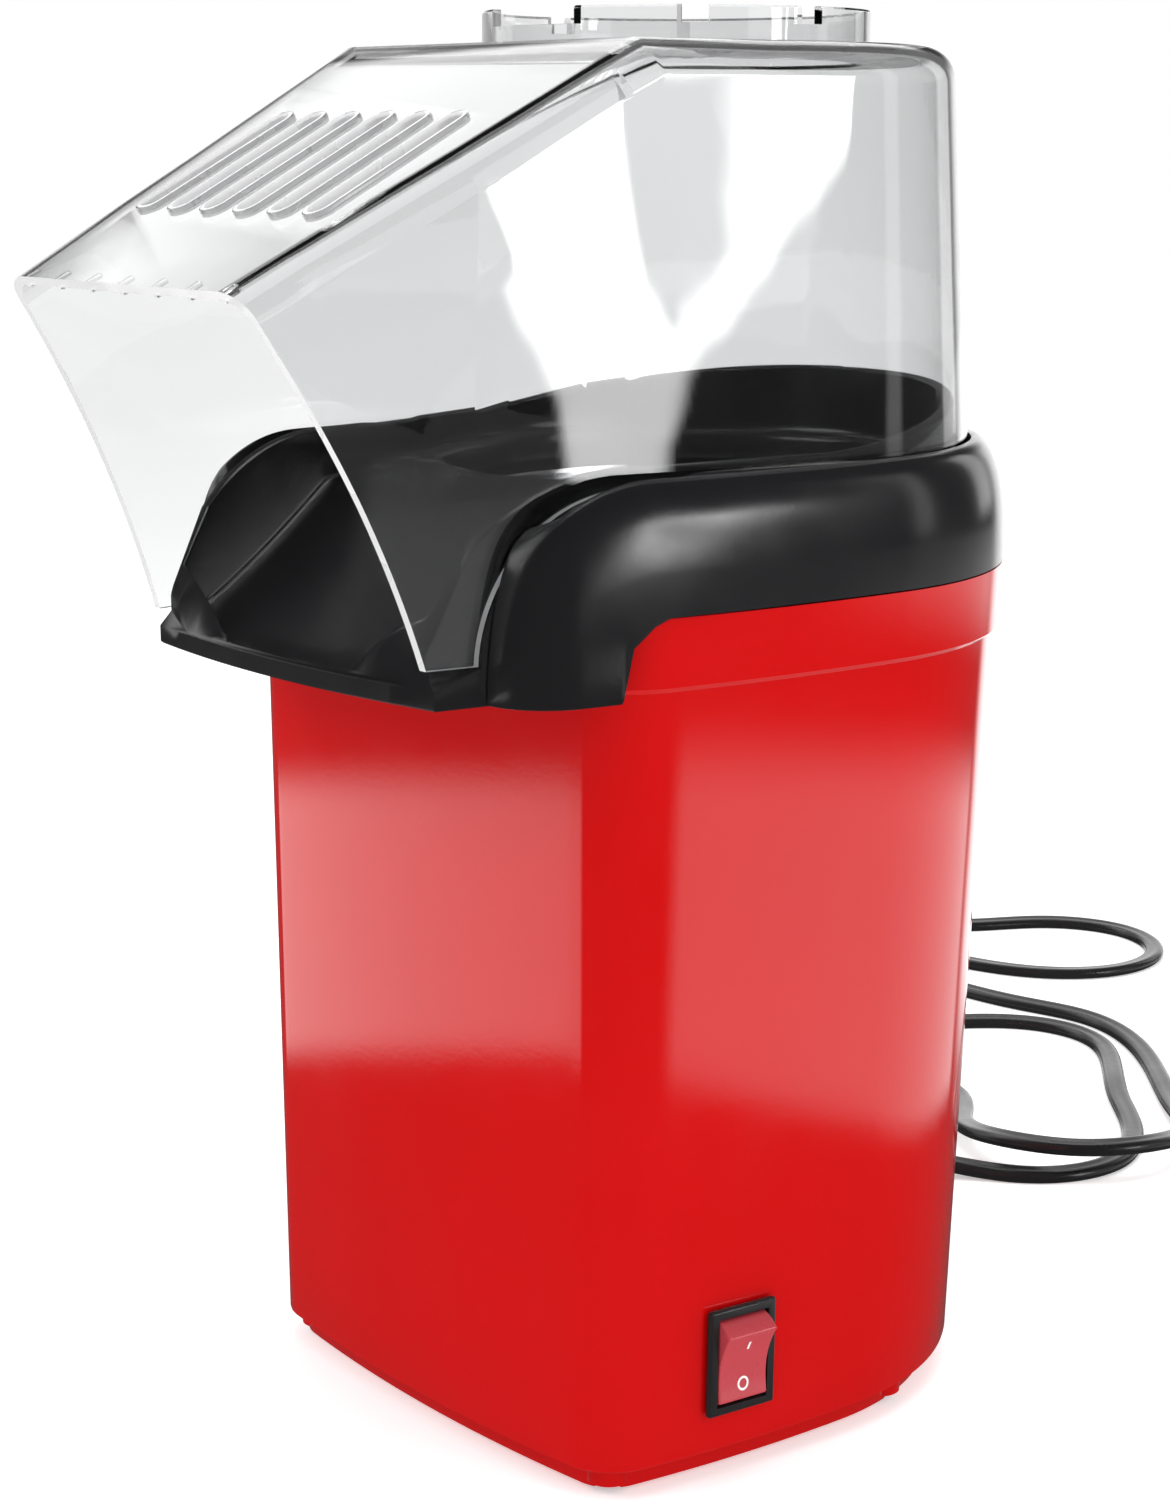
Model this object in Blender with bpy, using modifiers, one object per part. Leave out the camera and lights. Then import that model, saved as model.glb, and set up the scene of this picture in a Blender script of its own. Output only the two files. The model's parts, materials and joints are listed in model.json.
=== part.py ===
"""Small hot-air popcorn maker: red moulded body, black collar and chute, clear lift-off hood,
aluminium popping chamber, heater, fan and motor, rocker switch and a flat mains cord.

Frame: +Z up, front (mouth of the hood) towards -Y, switch on the +X side, the table at z = 0.
All sizes are metres. The body's own axis stands at (0, AXIS_Y); every piece is parented to it.
"""

import math

import bmesh
import bpy
import numpy as np
from mathutils import Matrix, Vector

MM = 0.001
DEG = math.pi / 180.0

# ---------------------------------------------------------------- driving dimensions
GAP = 0.3 * MM  # between pieces that touch

# Body plan at the table: half-round back, bowed sides, round corners, nearly flat front
BODY_BACK_R = 59.2 * MM
BODY_SIDE_R = 310.0 * MM
BODY_CORNER_R = 11.8 * MM
BODY_SIDE_START = 89.3 * DEG  # heading of the outline where the side meets the back
BODY_CORNER_START = 80.0 * DEG
BODY_FRONT_START = 7.0 * DEG
BODY_DRAFT = 0.0244  # the body grows outward by this per metre of height
BODY_LEAN = 0.0184  # and its axis moves back by this, so that the front stands upright
BODY_WALL = 2.0 * MM
SKIRT_Z = 5.8 * MM  # lower edge of the red body
COLLAR_Z = 164.8 * MM  # seam between the red body and the black collar
BAND_HEIGHT = 13.0 * MM  # slightly wider band under that seam
BAND_OUTSET = 1.25 * MM

# Parting line: it falls in front so that the chute can lie over the body's front wall
PARTING_DROP = 14.2 * MM
PARTING_BEHIND_FRONT = 21.64 * MM  # from the collar's foremost point back to the drop
PARTING_RUN = 9.4 * MM  # depth over which the line falls

# Collar
COLLAR_SIDE_R = 420.0 * MM
COLLAR_CORNER_R = 13.0 * MM
COLLAR_CORNER_START = 79.7 * DEG
COLLAR_FRONT_START = 8.0 * DEG
COLLAR_RISE = 23.2 * MM  # from the seam to the collar's top
COLLAR_EDGE_R = 5.5 * MM
TRUNK_R = 32.0 * MM  # the shoulders roll down in front round a level axis of this radius
TRUNK_SET_BACK = 0.46 * MM

# Hood
HOOD_INSIDE_COLLAR = 7.35 * MM  # from the collar's outside to the hood's, at the back
HOOD_FRONT_HALF = 37.5 * MM  # half width that the sides run towards
HOOD_AXIS_Y = 3.0 * MM
HOOD_WALL = 1.8 * MM
HOOD_SEAT = 2.2 * MM  # depth of the groove that the hood stands in
HOOD_DRAFT = 0.055
HOOD_HEIGHT = 75.7 * MM
HOOD_TOP_EDGE_R = 6.5 * MM
HOOD_SLOPE_AHEAD = 7.0 * MM  # from the shoulders' axis back to where the roof begins to fall
MOUTH_REACH = 71.0 * MM  # from the shoulders' axis forward to the mouth's top edge
MOUTH_HEIGHT = 35.2 * MM  # of that edge over the hood's foot
CHEEK_REACH = 39.5 * MM
CHEEK_TIP_OVER_AXIS = 1.6 * MM
CHEEK_BOW = 3.0 * MM
SLOT_COUNT = 6
SLOT_PITCH = 10.5 * MM
SLOT_WIDTH = 4.6 * MM
SLOT_LENGTH = 35.0 * MM
SLOT_FROM_MOUTH = 24.4 * MM  # along the slope, from the mouth to the slots' near ends
RING_R = 37.1 * MM
RING_WALL = 2.0 * MM
RING_HEIGHT = 6.4 * MM
RING_NOTCH_DEPTH = 3.2 * MM
RING_NOTCH_WIDTH = 5.0 * MM
RING_FRONT_GAP = 24.0 * MM

# Chute and guide wall
OPENING_LIP = 5.0 * MM
CHUTE_RIB = 2.4 * MM
CHUTE_WALL = 2.2 * MM
CHUTE_REACH = 38.3 * MM  # from the shoulders' axis forward to the chute's corners
CHUTE_BULGE = 3.5 * MM
CHUTE_LIP_HEIGHT = 4.0 * MM
GUIDE_RISE = 3.2 * MM  # over the hood's foot at the sides
GUIDE_BACK_RISE = 9.0 * MM  # and this much more at the back
GUIDE_CLEARANCE = 1.2 * MM  # between the guide wall and the hood's inside

# Popping chamber and the air path under it
CHAMBER_R = 44.6 * MM
CHAMBER_WALL = 0.9 * MM
CHAMBER_DEPTH = 64.5 * MM
CHAMBER_DOME = 7.0 * MM
CHAMBER_SLOTS = 14
CHAMBER_CLEARANCE = 0.9 * MM  # all round, to the opening above it and to the shield outside it
FLANGE_WIDTH = 2.4 * MM
SHIELD_WALL = 0.8 * MM
SHIELD_FOOT_Z = 98.0 * MM
HOUSING_WALL = 1.8 * MM
HOUSING_FLOOR_Z = 50.0 * MM
HOUSING_TOP_Z = 94.0 * MM
HOUSING_INTAKES = 8
HOUSING_INTAKE_R = 7.0 * MM
HOUSING_INTAKES_AT = 25.0 * MM  # radius of the circle that they stand on
HOUSING_LEGS = 4
LEG_R = 3.6 * MM

# Heater
MICA_HALF_WIDTH = 27.0 * MM
MICA_FOOT_Z = 76.0 * MM
MICA_UNDER_CHAMBER = 6.0 * MM
MICA_THICK = 0.9 * MM
COIL_WIRE_R = 0.8 * MM
COIL_TURNS = 6

# Motor and fan
MOTOR_R = 13.9 * MM
MOTOR_HEIGHT = 33.0 * MM
MOTOR_SCREW_R = 9.0 * MM  # the two screws' distance from the shaft
MOTOR_SCREW_SHANK_R = 1.28 * MM
MOTOR_BOSS_R = 3.0 * MM
SHAFT_BOSS_R = 4.2 * MM  # hole for that boss in the housing's floor
MOTOR_UNDER_HOUSING = 2.0 * MM
SHAFT_R = 1.15 * MM
SHAFT_OVER_HUB = 1.5 * MM
FAN_CLEARANCE = 6.6 * MM  # from the fan to the housing's wall
FAN_OVER_FLOOR = 4.0 * MM
FAN_HEIGHT = 10.0 * MM
HUB_RISE = 2.0 * MM
FAN_BLADES = 8

# Base
PLINTH_INSET = 3.7 * MM
PLINTH_Z = 1.0 * MM
BASE_FLOOR = 2.4 * MM
BASE_RIM_Z = 15.0 * MM
INTAKE_SLOTS = 7
FOOT_R = 6.0 * MM
FOOT_FROM_SIDE = 25.2 * MM  # feet, from the body's widest point inward
FOOT_FROM_FRONT = 21.14 * MM
FOOT_FROM_BACK = 23.2 * MM
POST_R = 5.6 * MM
BOSS_R = 4.2 * MM
POST_TOP_Z = 38.0 * MM
SCREW_R = 1.6 * MM
SCREW_HEAD_R = 3.0 * MM
HEAD_SEAT_Z = 5.2 * MM  # the screws' heads sit this deep in the base
FOOT_SEAT = 0.8 * MM
INTAKE_SLOT = (3.6 * MM, 58.0 * MM)
INTAKE_PITCH = 8.0 * MM

# Switch
SWITCH_Y = -30.7 * MM
SWITCH_Z = 24.0 * MM
BEZEL = (15.0 * MM, 21.0 * MM)  # width along the wall, height
BEZEL_THICK = 1.8 * MM
SWITCH_BOX = (12.8 * MM, 18.8 * MM)
SWITCH_DEPTH = 15.0 * MM
ROCKER_R = 8.5 * MM
ROCKER_WIDTH = 10.8 * MM
ROCKER_PIVOT_IN = 1.0 * MM
ROCKER_THROW = 22.0 * DEG

# Mains cord
CORD_D = 5.6 * MM
CORD_EXIT_Z = 15.0 * MM
CORD_EXIT_HEADING = 200.0 * DEG  # where it leaves the back, as a heading of the outline
RELIEF_LENGTH = 26.0 * MM
RELIEF_NECK_R = 4.2 * MM

# ---------------------------------------------------------------- derived sizes
FAR = 400.0 * MM  # beyond the object, for cutters that run right through
SIDE_SPANS = (BODY_SIDE_START, COLLAR_CORNER_START, COLLAR_FRONT_START)
BAND_Z = COLLAR_Z - BAND_HEIGHT
CHUTE_BOTTOM_Z = COLLAR_Z - PARTING_DROP
COLLAR_BACK_R = BODY_BACK_R + BODY_DRAFT * COLLAR_Z + BAND_OUTSET
COLLAR_AXIS_Y = BODY_LEAN * COLLAR_Z
COLLAR_TOP_Z = COLLAR_Z + COLLAR_RISE
BACK_Y = COLLAR_AXIS_Y + COLLAR_BACK_R


def front_depth(back_r, side_r, corner_r, side_start, corner_start, front_start):
    """Depth of an outline's front, from the axis of its round back forward."""
    x_corner = back_r * math.sin(side_start) - side_r * (math.sin(side_start) - math.sin(corner_start))
    x_front = x_corner - corner_r * (math.sin(corner_start) - math.sin(front_start))
    depth = back_r * math.cos(side_start) + side_r * (math.cos(corner_start) - math.cos(side_start))
    depth += corner_r * (math.cos(front_start) - math.cos(corner_start))
    return depth + x_front / math.sin(front_start) * (1.0 - math.cos(front_start))


COLLAR_FRONT_Y = COLLAR_AXIS_Y - front_depth(COLLAR_BACK_R, COLLAR_SIDE_R, COLLAR_CORNER_R, *SIDE_SPANS)
PARTING_FRONT_Y = COLLAR_FRONT_Y + PARTING_BEHIND_FRONT
TRUNK_AXIS_Y = COLLAR_FRONT_Y + TRUNK_R - TRUNK_SET_BACK  # the shoulders roll down round this line
TRUNK_AXIS_Z = COLLAR_TOP_Z - TRUNK_R
HOOD_R = COLLAR_BACK_R - HOOD_INSIDE_COLLAR
HOOD_FOOT_Z = COLLAR_TOP_Z - HOOD_SEAT
HOOD_TOP_Z = HOOD_FOOT_Z + HOOD_HEIGHT
HOOD_SLOPE_Y = TRUNK_AXIS_Y + HOOD_SLOPE_AHEAD
LEDGE_R = HOOD_FOOT_Z - TRUNK_AXIS_Z
MOUTH_TOP_Y = TRUNK_AXIS_Y - MOUTH_REACH
MOUTH_TOP_Z = HOOD_FOOT_Z + MOUTH_HEIGHT
CHEEK_TIP_Y = TRUNK_AXIS_Y - CHEEK_REACH
CHEEK_TIP_Z = TRUNK_AXIS_Z + CHEEK_TIP_OVER_AXIS
HOOD_SIDE_RUN = HOOD_AXIS_Y - MOUTH_TOP_Y + 4.0 * MM  # to where the sides reach their half width
SLOPE = math.atan2(HOOD_TOP_Z - MOUTH_TOP_Z, HOOD_SLOPE_Y - MOUTH_TOP_Y)
RING_TOP_Z = HOOD_TOP_Z + RING_HEIGHT
OPENING_R = CHAMBER_R + CHAMBER_CLEARANCE
OPENING_Z = HOOD_FOOT_Z - CHUTE_WALL
CHUTE_FRONT_Y = TRUNK_AXIS_Y - CHUTE_REACH
CHUTE_LIP_Z = CHUTE_BOTTOM_Z + CHUTE_LIP_HEIGHT
GUIDE_SIDE_Z = HOOD_FOOT_Z + GUIDE_RISE
GUIDE_BACK_Z = GUIDE_SIDE_Z + GUIDE_BACK_RISE
CHAMBER_TOP_Z = OPENING_Z - OPENING_LIP - 7 * GAP
CHAMBER_FLOOR_Z = CHAMBER_TOP_Z - CHAMBER_DEPTH
SHIELD_R = CHAMBER_R + 2 * CHAMBER_CLEARANCE
HOUSING_R = SHIELD_R + SHIELD_WALL + 0.2 * MM
MICA_Z = (MICA_FOOT_Z, CHAMBER_FLOOR_Z - MICA_UNDER_CHAMBER)
MOTOR_TOP_Z = HOUSING_FLOOR_Z - MOTOR_UNDER_HOUSING
MOTOR_Z = (MOTOR_TOP_Z - MOTOR_HEIGHT, MOTOR_TOP_Z)
FAN_R = HOUSING_R - HOUSING_WALL - FAN_CLEARANCE
FAN_Z = (HOUSING_FLOOR_Z + FAN_OVER_FLOOR, HOUSING_FLOOR_Z + FAN_OVER_FLOOR + FAN_HEIGHT)
SHAFT_TOP_Z = FAN_Z[1] + HUB_RISE + SHAFT_OVER_HUB
AXIS_Y = -(MOUTH_TOP_Y + BACK_Y) / 2.0  # puts the origin at the middle of the footprint

# ---------------------------------------------------------------- scene and helpers
for old in list(bpy.data.objects):
    bpy.data.objects.remove(old, do_unlink=True)

PARTS = bpy.data.collections.new("popcorn_maker")
CUTTERS = bpy.data.collections.new("cutters")
bpy.context.scene.collection.children.link(PARTS)
bpy.context.scene.collection.children.link(CUTTERS)


def empty(name, location, parent=None, rotation=(0.0, 0.0, 0.0)):
    e = bpy.data.objects.new(name, None)
    e.location = location
    e.rotation_euler = rotation
    e.parent = parent
    e.empty_display_size = 0.01
    PARTS.objects.link(e)
    return e


AXIS = empty("body_axis", (0.0, AXIS_Y, 0.0))


def material(name, colour, roughness, metallic=0.0, transmission=0.0):
    m = bpy.data.materials.new(name)
    m.use_nodes = True
    m.diffuse_color = (*colour, 1.0)
    shader = m.node_tree.nodes["Principled BSDF"]
    shader.inputs["Base Color"].default_value = (*colour, 1.0)
    shader.inputs["Roughness"].default_value = roughness
    shader.inputs["Metallic"].default_value = metallic
    shader.inputs["Transmission Weight"].default_value = transmission
    return m


RED = ((0.62, 0.006, 0.010), 0.18)
BLACK = ((0.012, 0.012, 0.013), 0.30)
RUBBER = ((0.015, 0.015, 0.015), 0.75)
CLEAR = ((0.92, 0.94, 0.95), 0.05, 0.0, 0.9)
ALUMINIUM = ((0.78, 0.78, 0.77), 0.28, 1.0)
STEEL = ((0.55, 0.56, 0.58), 0.32, 1.0)
BRASS = ((0.70, 0.52, 0.22), 0.30, 1.0)
MICA = ((0.55, 0.48, 0.36), 0.60)
HOUSING = ((0.80, 0.78, 0.72), 0.50)
BOARD = ((0.10, 0.28, 0.12), 0.55)
ROCKER_RED = ((0.80, 0.10, 0.09), 0.35)
WIRE_WHITE = ((0.80, 0.80, 0.78), 0.50)
WIRE_RED = ((0.60, 0.05, 0.04), 0.50)


def add(name, mesh_or_curve, look=None, parent=AXIS, collection=None):
    o = bpy.data.objects.new(name, mesh_or_curve)
    o.parent = parent
    (collection or PARTS).objects.link(o)
    if look is not None:
        o.data.materials.clear()
        o.data.materials.append(material(name + "_material", *look))
    return o


def finish_mesh(bm, name, smooth_angle=35.0):
    bmesh.ops.recalc_face_normals(bm, faces=bm.faces)
    mesh = bpy.data.meshes.new(name)
    bm.to_mesh(mesh)
    bm.free()
    mesh.shade_smooth()
    mesh.set_sharp_from_angle(angle=smooth_angle * DEG)
    return mesh


def loft(name, rings, closed=False):
    """A mesh through rings of equally many points; closed joins the last ring to the first."""
    bm = bmesh.new()
    rows = [[bm.verts.new(p) for p in ring] for ring in rings]
    count = len(rows[0])
    pairs = list(zip(rows, rows[1:]))
    if closed:
        pairs.append((rows[-1], rows[0]))
    for a, b in pairs:
        for i in range(count):
            j = (i + 1) % count
            bm.faces.new((a[i], a[j], b[j], b[i]))
    if not closed:
        bm.faces.new(rows[0])
        bm.faces.new(rows[-1])
    return finish_mesh(bm, name)


def level(points, z):
    """Plan points lifted to a height, or to a height that depends on y."""
    if callable(z):
        return [(x, y, z(y)) for x, y in points]
    return [(x, y, z) for x, y in points]


def extrude_outline(name, points, z0, z1):
    return loft(name, [level(points, z0), level(points, z1)])


def side_prism(name, profile, half_width):
    """A (y, z) profile drawn across the whole width."""
    return loft(name, [[(x, y, z) for y, z in profile] for x in (-half_width, half_width)])


def box(name, size, centre=(0.0, 0.0, 0.0)):
    bm = bmesh.new()
    bmesh.ops.create_cube(bm, size=1.0)
    bmesh.ops.scale(bm, vec=size, verts=bm.verts)
    bmesh.ops.translate(bm, vec=centre, verts=bm.verts)
    return finish_mesh(bm, name)


def rod(name, radius, z0, z1, centre=(0.0, 0.0), segments=16, top_radius=None):
    bm = bmesh.new()
    bmesh.ops.create_cone(
        bm, cap_ends=True, segments=segments, radius1=radius,
        radius2=radius if top_radius is None else top_radius, depth=z1 - z0,
    )
    bmesh.ops.translate(bm, vec=(centre[0], centre[1], (z0 + z1) / 2.0), verts=bm.verts)
    return finish_mesh(bm, name)


def turned(name, profile, segments=48):
    """A closed (radius, z) profile turned about the object's own axis."""
    mesh = bpy.data.meshes.new(name)
    bm = bmesh.new()
    verts = [bm.verts.new((r, 0.0, z)) for r, z in profile]
    for a, b in zip(verts, verts[1:] + verts[:1]):
        if a.co.x > 0.0 or b.co.x > 0.0:
            bm.edges.new((a, b))
    bm.to_mesh(mesh)
    bm.free()
    o = bpy.data.objects.new(name + "_profile", mesh)
    CUTTERS.objects.link(o)
    screw = o.modifiers.new("turn", "SCREW")
    screw.steps = segments
    screw.render_steps = segments
    screw.use_merge_vertices = True
    screw.merge_threshold = 0.00001
    return baked(o, name)


def baked(o, name):
    """The evaluated mesh of a helper object as a new mesh; the helper is removed."""
    bpy.context.view_layer.update()
    mesh = bpy.data.meshes.new_from_object(o.evaluated_get(bpy.context.evaluated_depsgraph_get()))
    mesh.transform(o.matrix_world)
    bpy.data.objects.remove(o, do_unlink=True)
    bm = bmesh.new()
    bm.from_mesh(mesh)
    bmesh.ops.remove_doubles(bm, verts=bm.verts, dist=0.000001)
    return finish_mesh(bm, name)


def boolean(o, cutter_mesh, operation="DIFFERENCE", matrix=None):
    """Cuts or joins with a helper mesh that stays in the cutters' collection."""
    c = add(o.name + "_" + operation.lower(), cutter_mesh, parent=o.parent, collection=CUTTERS)
    c.hide_render = True
    c.display_type = "WIRE"
    if matrix is not None:
        c.matrix_local = matrix
    m = o.modifiers.new("cut", "BOOLEAN")
    m.operation = operation
    m.solver = "EXACT"
    m.object = c
    return c


def smooth_path(points, count):
    """A uniform cubic B-spline that starts and ends at the first and last points."""
    p = np.array(points, float)
    p = np.vstack([2 * p[0] - p[1], p, 2 * p[-1] - p[-2]])
    spans = len(p) - 3
    out = []
    for t in np.linspace(0.0, spans, count):
        i = min(int(t), spans - 1)
        u = t - i
        weights = np.array([(1 - u) ** 3, 3 * u**3 - 6 * u**2 + 4, -3 * u**3 + 3 * u**2 + 3 * u + 1, u**3])
        out.append(weights @ p[i : i + 4] / 6.0)
    return np.array(out)


def wire(name, points, radius, look, resolution=2, parent=AXIS):
    curve = bpy.data.curves.new(name, "CURVE")
    curve.dimensions = "3D"
    curve.bevel_depth = radius
    curve.bevel_resolution = resolution
    curve.use_fill_caps = True
    spline = curve.splines.new("POLY")
    spline.points.add(len(points) - 1)
    for point, co in zip(spline.points, points):
        point.co = (*co, 1.0)
    return add(name, curve, look, parent)


# ---------------------------------------------------------------- outlines
def arc_outline(
    back_r, side_r, corner_r, side_start, corner_start, front_start, axis_y, steps=(3, 6, 5, 14)
):
    """Closed plan outline, counter-clockwise from the middle of the front: front arc, corner,
    side arc and half of the back on +X, mirrored to -X. Headings are angles of travel from +X."""
    x_side = back_r * math.sin(side_start)
    x_corner = x_side - side_r * (math.sin(side_start) - math.sin(corner_start))
    x_front = x_corner - corner_r * (math.sin(corner_start) - math.sin(front_start))
    front_r = x_front / math.sin(front_start)
    headings = (0.0, front_start, corner_start, side_start, math.pi)
    radii = (front_r, corner_r, side_r, back_r)
    drop = sum(
        r * (math.cos(a) - math.cos(b)) for r, a, b in zip(radii[:3], headings, headings[1:])
    )
    x, y = 0.0, axis_y - back_r * math.cos(side_start) - drop
    half = [(x, y)]
    for r, a, b, n in zip(radii, headings, headings[1:], steps):
        for k in range(1, n + 1):
            h = a + (b - a) * k / n
            half.append((x + r * (math.sin(h) - math.sin(a)), y + r * (math.cos(a) - math.cos(h))))
        x, y = half[-1]
    return half + [(-px, py) for px, py in half[-2:0:-1]]


def body_outline(z, offset=0.0):
    """Outline of the red body at height z, grown outward by offset."""
    grow = BODY_DRAFT * z + offset
    return arc_outline(
        BODY_BACK_R + grow, BODY_SIDE_R + grow, BODY_CORNER_R + grow,
        BODY_SIDE_START, BODY_CORNER_START, BODY_FRONT_START, BODY_LEAN * z,
    )


def body_point(heading, z, offset=0.0):
    """Point and outward direction of the body's wall where its outline has this heading."""
    grow = BODY_DRAFT * z + offset
    back, side, corner = BODY_BACK_R + grow, BODY_SIDE_R + grow, BODY_CORNER_R + grow
    axis_y = BODY_LEAN * z
    mirrored = heading > math.pi
    h = 2.0 * math.pi - heading if mirrored else heading
    if h >= BODY_SIDE_START:
        x, y = back * math.sin(h), axis_y - back * math.cos(h)
    else:
        x = back * math.sin(BODY_SIDE_START)
        y = axis_y - back * math.cos(BODY_SIDE_START)
        stop = max(h, BODY_CORNER_START)
        x -= side * (math.sin(BODY_SIDE_START) - math.sin(stop))
        y -= side * (math.cos(stop) - math.cos(BODY_SIDE_START))
        if h < stop:
            x -= corner * (math.sin(stop) - math.sin(h))
            y -= corner * (math.cos(h) - math.cos(stop))
    direction = Vector((math.sin(h), -math.cos(h)))
    if mirrored:
        x = -x
        direction.x = -direction.x
    return Vector((x, y)), direction


def collar_outline(offset=0.0):
    return arc_outline(
        COLLAR_BACK_R + offset, COLLAR_SIDE_R + offset, COLLAR_CORNER_R + offset,
        BODY_SIDE_START, COLLAR_CORNER_START, COLLAR_FRONT_START, COLLAR_AXIS_Y, (3, 7, 9, 14),
    )


def hood_outline(offset=0.0, front_y=None, bulge=0.0, radius=HOOD_R):
    """Plan of the hood: a round back whose tangents run forward to front_y; bulge bows the front."""
    r = radius + offset
    half = HOOD_FRONT_HALF + offset
    run = HOOD_SIDE_RUN
    tilt = math.asin(r / math.hypot(run, half)) - math.atan2(half, run)
    front_y = HOOD_AXIS_Y - run if front_y is None else front_y
    side = Vector((r * math.cos(tilt), HOOD_AXIS_Y - r * math.sin(tilt)))
    front = Vector((side.x - math.tan(tilt) * (side.y - front_y), front_y))
    points = []
    across, around = 4, 15
    for k in range(across):
        x = front.x * k / across
        points.append((x, front_y - bulge * (1.0 - (k / across) ** 2)))
    points.append((front.x, front.y))
    for turn in SHOULDER_TURNS:
        y = TRUNK_AXIS_Y - min((LEDGE_R + 0.2 * MM) * math.sin(turn), LEDGE_R - 0.25 * MM)
        points.append((side.x - math.tan(tilt) * (side.y - y), y))
    for k in range(around + 1):
        a = -tilt + (math.pi / 2.0 + tilt) * k / around
        points.append((r * math.cos(a), HOOD_AXIS_Y + r * math.sin(a)))
    return points + [(-px, py) for px, py in points[-2:0:-1]]


SHOULDER_TURNS = [turn * DEG for turn in (90.0, 78.0, 65.0, 52.0, 39.0, 26.0, 13.0, 0.0)]


def shoulder_height(y, radius):
    """Height of the surface that rolls down over the shoulders at this radius."""
    ahead = TRUNK_AXIS_Y - y
    if ahead <= 0.0:
        return TRUNK_AXIS_Z + radius
    return TRUNK_AXIS_Z + math.sqrt(max(radius**2 - ahead**2, 0.0))


def smoothstep(t):
    t = min(max(t, 0.0), 1.0)
    return t * t * (3.0 - 2.0 * t)


def arc_points(cy, cz, radius, start, stop, count):
    """Points (y, z) on an arc, by angle from +Y."""
    angles = [start + (stop - start) * k / count for k in range(count + 1)]
    return [(cy + radius * math.cos(a), cz + radius * math.sin(a)) for a in angles]


# ---------------------------------------------------------------- red body and base
POST_HEADINGS = (45.0 * DEG, 105.0 * DEG, 255.0 * DEG, 315.0 * DEG)


def post_centre(heading):
    """Posts bite 1 mm into the inside of the wall at the base."""
    point, _ = body_point(heading, SKIRT_Z, -BODY_WALL - POST_R + 1.0 * MM)
    return point


def parting_profile(clearance):
    """(y, z) outline of the space above the parting line, lowered by clearance."""
    back = FAR
    top_z = COLLAR_Z - clearance
    low_z = CHUTE_BOTTOM_Z - clearance
    bend = PARTING_RUN * 0.55
    y0 = PARTING_FRONT_Y + clearance
    return [
        (back, back), (-back, back), (-back, low_z), (y0, low_z),
        (y0 + PARTING_RUN - bend * 1.4, top_z - bend * 0.9),
        (y0 + PARTING_RUN - bend * 0.6, top_z - bend * 0.25),
        (y0 + PARTING_RUN, top_z), (back, top_z),
    ]


def make_outer_shell():
    top = COLLAR_Z + 4.0 * MM
    step = 0.5 * MM
    rings = [
        level(body_outline(SKIRT_Z), SKIRT_Z),
        level(body_outline(BAND_Z), BAND_Z - step),
        level(body_outline(BAND_Z, BAND_OUTSET), BAND_Z + step),
        level(body_outline(top, BAND_OUTSET), top),
        level(body_outline(top, BAND_OUTSET - BODY_WALL), top),
        level(body_outline(SKIRT_Z, -BODY_WALL), SKIRT_Z),
    ]
    shell = add("outer_shell", loft("outer_shell", rings, closed=True), RED)
    for heading in POST_HEADINGS:
        c = post_centre(heading)
        boolean(shell, rod("post", POST_R, BASE_RIM_Z + GAP, POST_TOP_Z, c, 14), "UNION")
        boolean(shell, rod("pilot", SCREW_R + GAP, SKIRT_Z, POST_TOP_Z - 6.0 * MM, c, 10))
    boolean(shell, side_prism("parting", parting_profile(GAP), FAR))
    cut = box("switch_hole", (40.0 * MM, SWITCH_BOX[0] + 2 * GAP, SWITCH_BOX[1] + 2 * GAP))
    boolean(shell, cut, matrix=switch_matrix())
    point, direction = body_point(CORD_EXIT_HEADING, CORD_EXIT_Z)
    hole = rod("cord_hole", RELIEF_NECK_R + GAP, -10.0 * MM, 10.0 * MM, segments=16)
    boolean(shell, hole, matrix=outward_matrix(point, direction, CORD_EXIT_Z))
    return shell


def outward_matrix(point, direction, z):
    """A matrix whose +Z points along a level outward direction."""
    out = Vector((direction.x, direction.y, 0.0)).normalized()
    side = Vector((0.0, 0.0, 1.0)).cross(out)
    turn = Matrix((side, out.cross(side), out)).transposed()
    return Matrix.Translation((point.x, point.y, z)) @ turn.to_4x4()


def switch_heading():
    """Heading of the body's side arc where the switch sits."""
    side = BODY_SIDE_R + BODY_DRAFT * SWITCH_Z
    start, _ = body_point(BODY_SIDE_START, SWITCH_Z)
    return math.acos(math.cos(BODY_SIDE_START) + (start.y - SWITCH_Y) / side)


def switch_matrix():
    """Switch frame on the wall's outer face: +X out of the wall, +Y along it, +Z up it."""
    point, direction = body_point(switch_heading(), SWITCH_Z)
    turn = Matrix.Rotation(math.atan2(direction.y, direction.x), 4, "Z")
    lean = Matrix.Rotation(math.atan(BODY_DRAFT), 4, "Y")
    return Matrix.Translation((point.x, point.y, SWITCH_Z)) @ turn @ lean


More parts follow.
